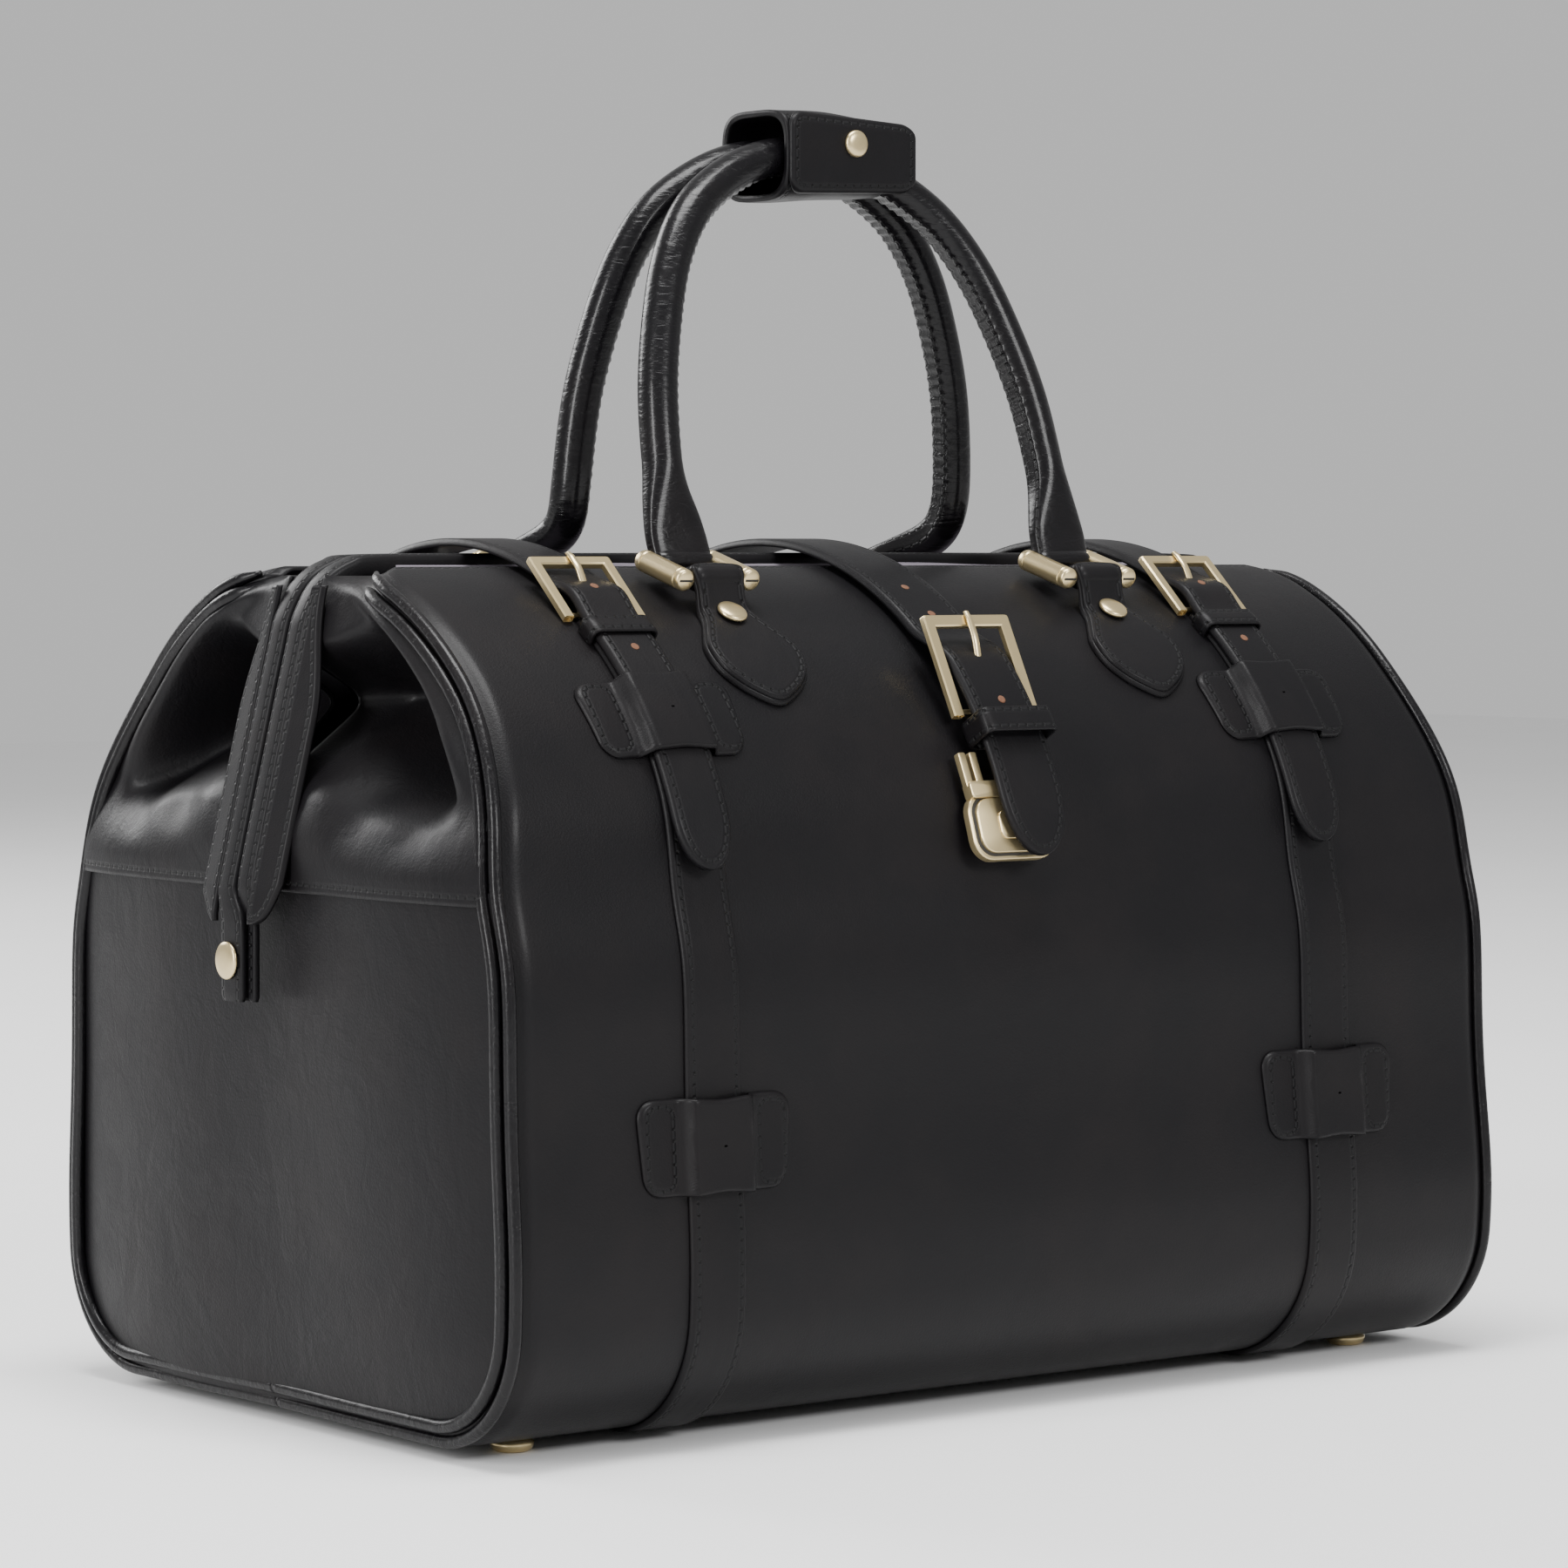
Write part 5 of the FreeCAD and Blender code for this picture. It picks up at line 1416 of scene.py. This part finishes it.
class MakeStage(BagOperator):
    """Pale floor, soft studio light and the camera"""

    bl_idname = "doctor_bag.stage"
    bl_label = "Stage"

    def make(self):
        mesh = bpy.data.meshes.new("floor")
        mesh.from_pydata([(-6, -6, 0), (6, -6, 0), (6, 6, 0), (-6, 6, 0)], [], [(0, 1, 2, 3)])
        floor = bpy.data.objects.new("floor", mesh)
        bpy.context.scene.collection.objects.link(floor)
        paint = Paint("floor paper")
        grit = paint.noise(3.0, 2.0)
        mesh.materials.append(paint.finish(
            base_color=paint.mixed(grit, (0.86, 0.86, 0.86, 1), (0.90, 0.90, 0.90, 1)),
            roughness=0.7))
        for name, spot, aim, size, power, tall in (
                ("left", (-3.0, -0.7, 1.3), (0, 0, 0.2), 0.5, 95, 2.2),
                ("top", (-0.2, -0.3, 2.9), (0, 0, 0.2), 1.6, 110, 1.0),
                ("front", (0.4, -3.2, 1.9), (0.1, 0, 0.25), 1.2, 70, 0.9),
                ("back", (-0.6, 3.0, 1.8), (0, 0, 0.3), 1.8, 80, 1.4)):
            light = bpy.data.lights.new(name, "AREA")
            light.shape, light.size, light.size_y = "RECTANGLE", size, tall
            light.energy = power
            lamp = bpy.data.objects.new(name, light)
            lamp.location = spot
            lamp.rotation_mode = "QUATERNION"
            lamp.rotation_quaternion = (Vector(aim) - Vector(spot)).to_track_quat("-Z", "Y")
            bpy.context.scene.collection.objects.link(lamp)
        world = bpy.data.worlds.new("studio")
        world.use_nodes = True
        back = world.node_tree.nodes["Background"]
        back.inputs["Color"].default_value = (1, 1, 1, 1)
        back.inputs["Strength"].default_value = 0.6
        bpy.context.scene.world = world
        camera = bpy.data.cameras.new("camera")
        camera.lens, camera.sensor_width = 120.0, 36.0
        eye = bpy.data.objects.new("camera", camera)
        spot, aim = Vector((-1.2750, -1.6427, 0.32457)), Vector((-0.0017, 0.0, 0.2309))
        eye.location = spot
        eye.rotation_mode = "QUATERNION"
        eye.rotation_quaternion = (aim - spot).to_track_quat("-Z", "Y")
        bpy.context.scene.collection.objects.link(eye)
        bpy.context.scene.camera = eye


STEPS = (MakePanels, MakePipings, MakeEndWalls, MakeMouth, MakeLining, MakeStraps,
         MakeSewnStraps, MakeLoops, MakeBuckles, MakeLock, MakeTabs, MakeRings, MakeHandles,
         MakeStuds, MakeHidden, MakeStage)


class DOCTORBAG_PT_build(bpy.types.Panel):
    """Lists the bag's pieces and their sizes and colours"""

    bl_idname = "DOCTORBAG_PT_build"
    bl_label = "Doctor Bag"
    bl_space_type = "VIEW_3D"
    bl_region_type = "UI"
    bl_category = "Doctor Bag"

    def draw(self, context):
        for group in (context.scene.bag_shape, context.scene.bag_finish):
            for name in group.bl_rna.properties.keys():
                if name not in ("rna_type", "name"):
                    self.layout.prop(group, name)
        for step in STEPS:
            self.layout.operator(step.bl_idname)


CLASSES = (BagShape, BagFinish, *STEPS, DOCTORBAG_PT_build)


def register():
    for made in CLASSES:
        bpy.utils.register_class(made)
    bpy.types.Scene.bag_shape = bpy.props.PointerProperty(type=BagShape)
    bpy.types.Scene.bag_finish = bpy.props.PointerProperty(type=BagFinish)


def unregister():
    del bpy.types.Scene.bag_finish
    del bpy.types.Scene.bag_shape
    for made in reversed(CLASSES):
        bpy.utils.unregister_class(made)


def main():
    register()
    for step in STEPS:
        group, name = step.bl_idname.split(".")
        getattr(getattr(bpy.ops, group), name)()


if __name__ == "__main__":
    main()
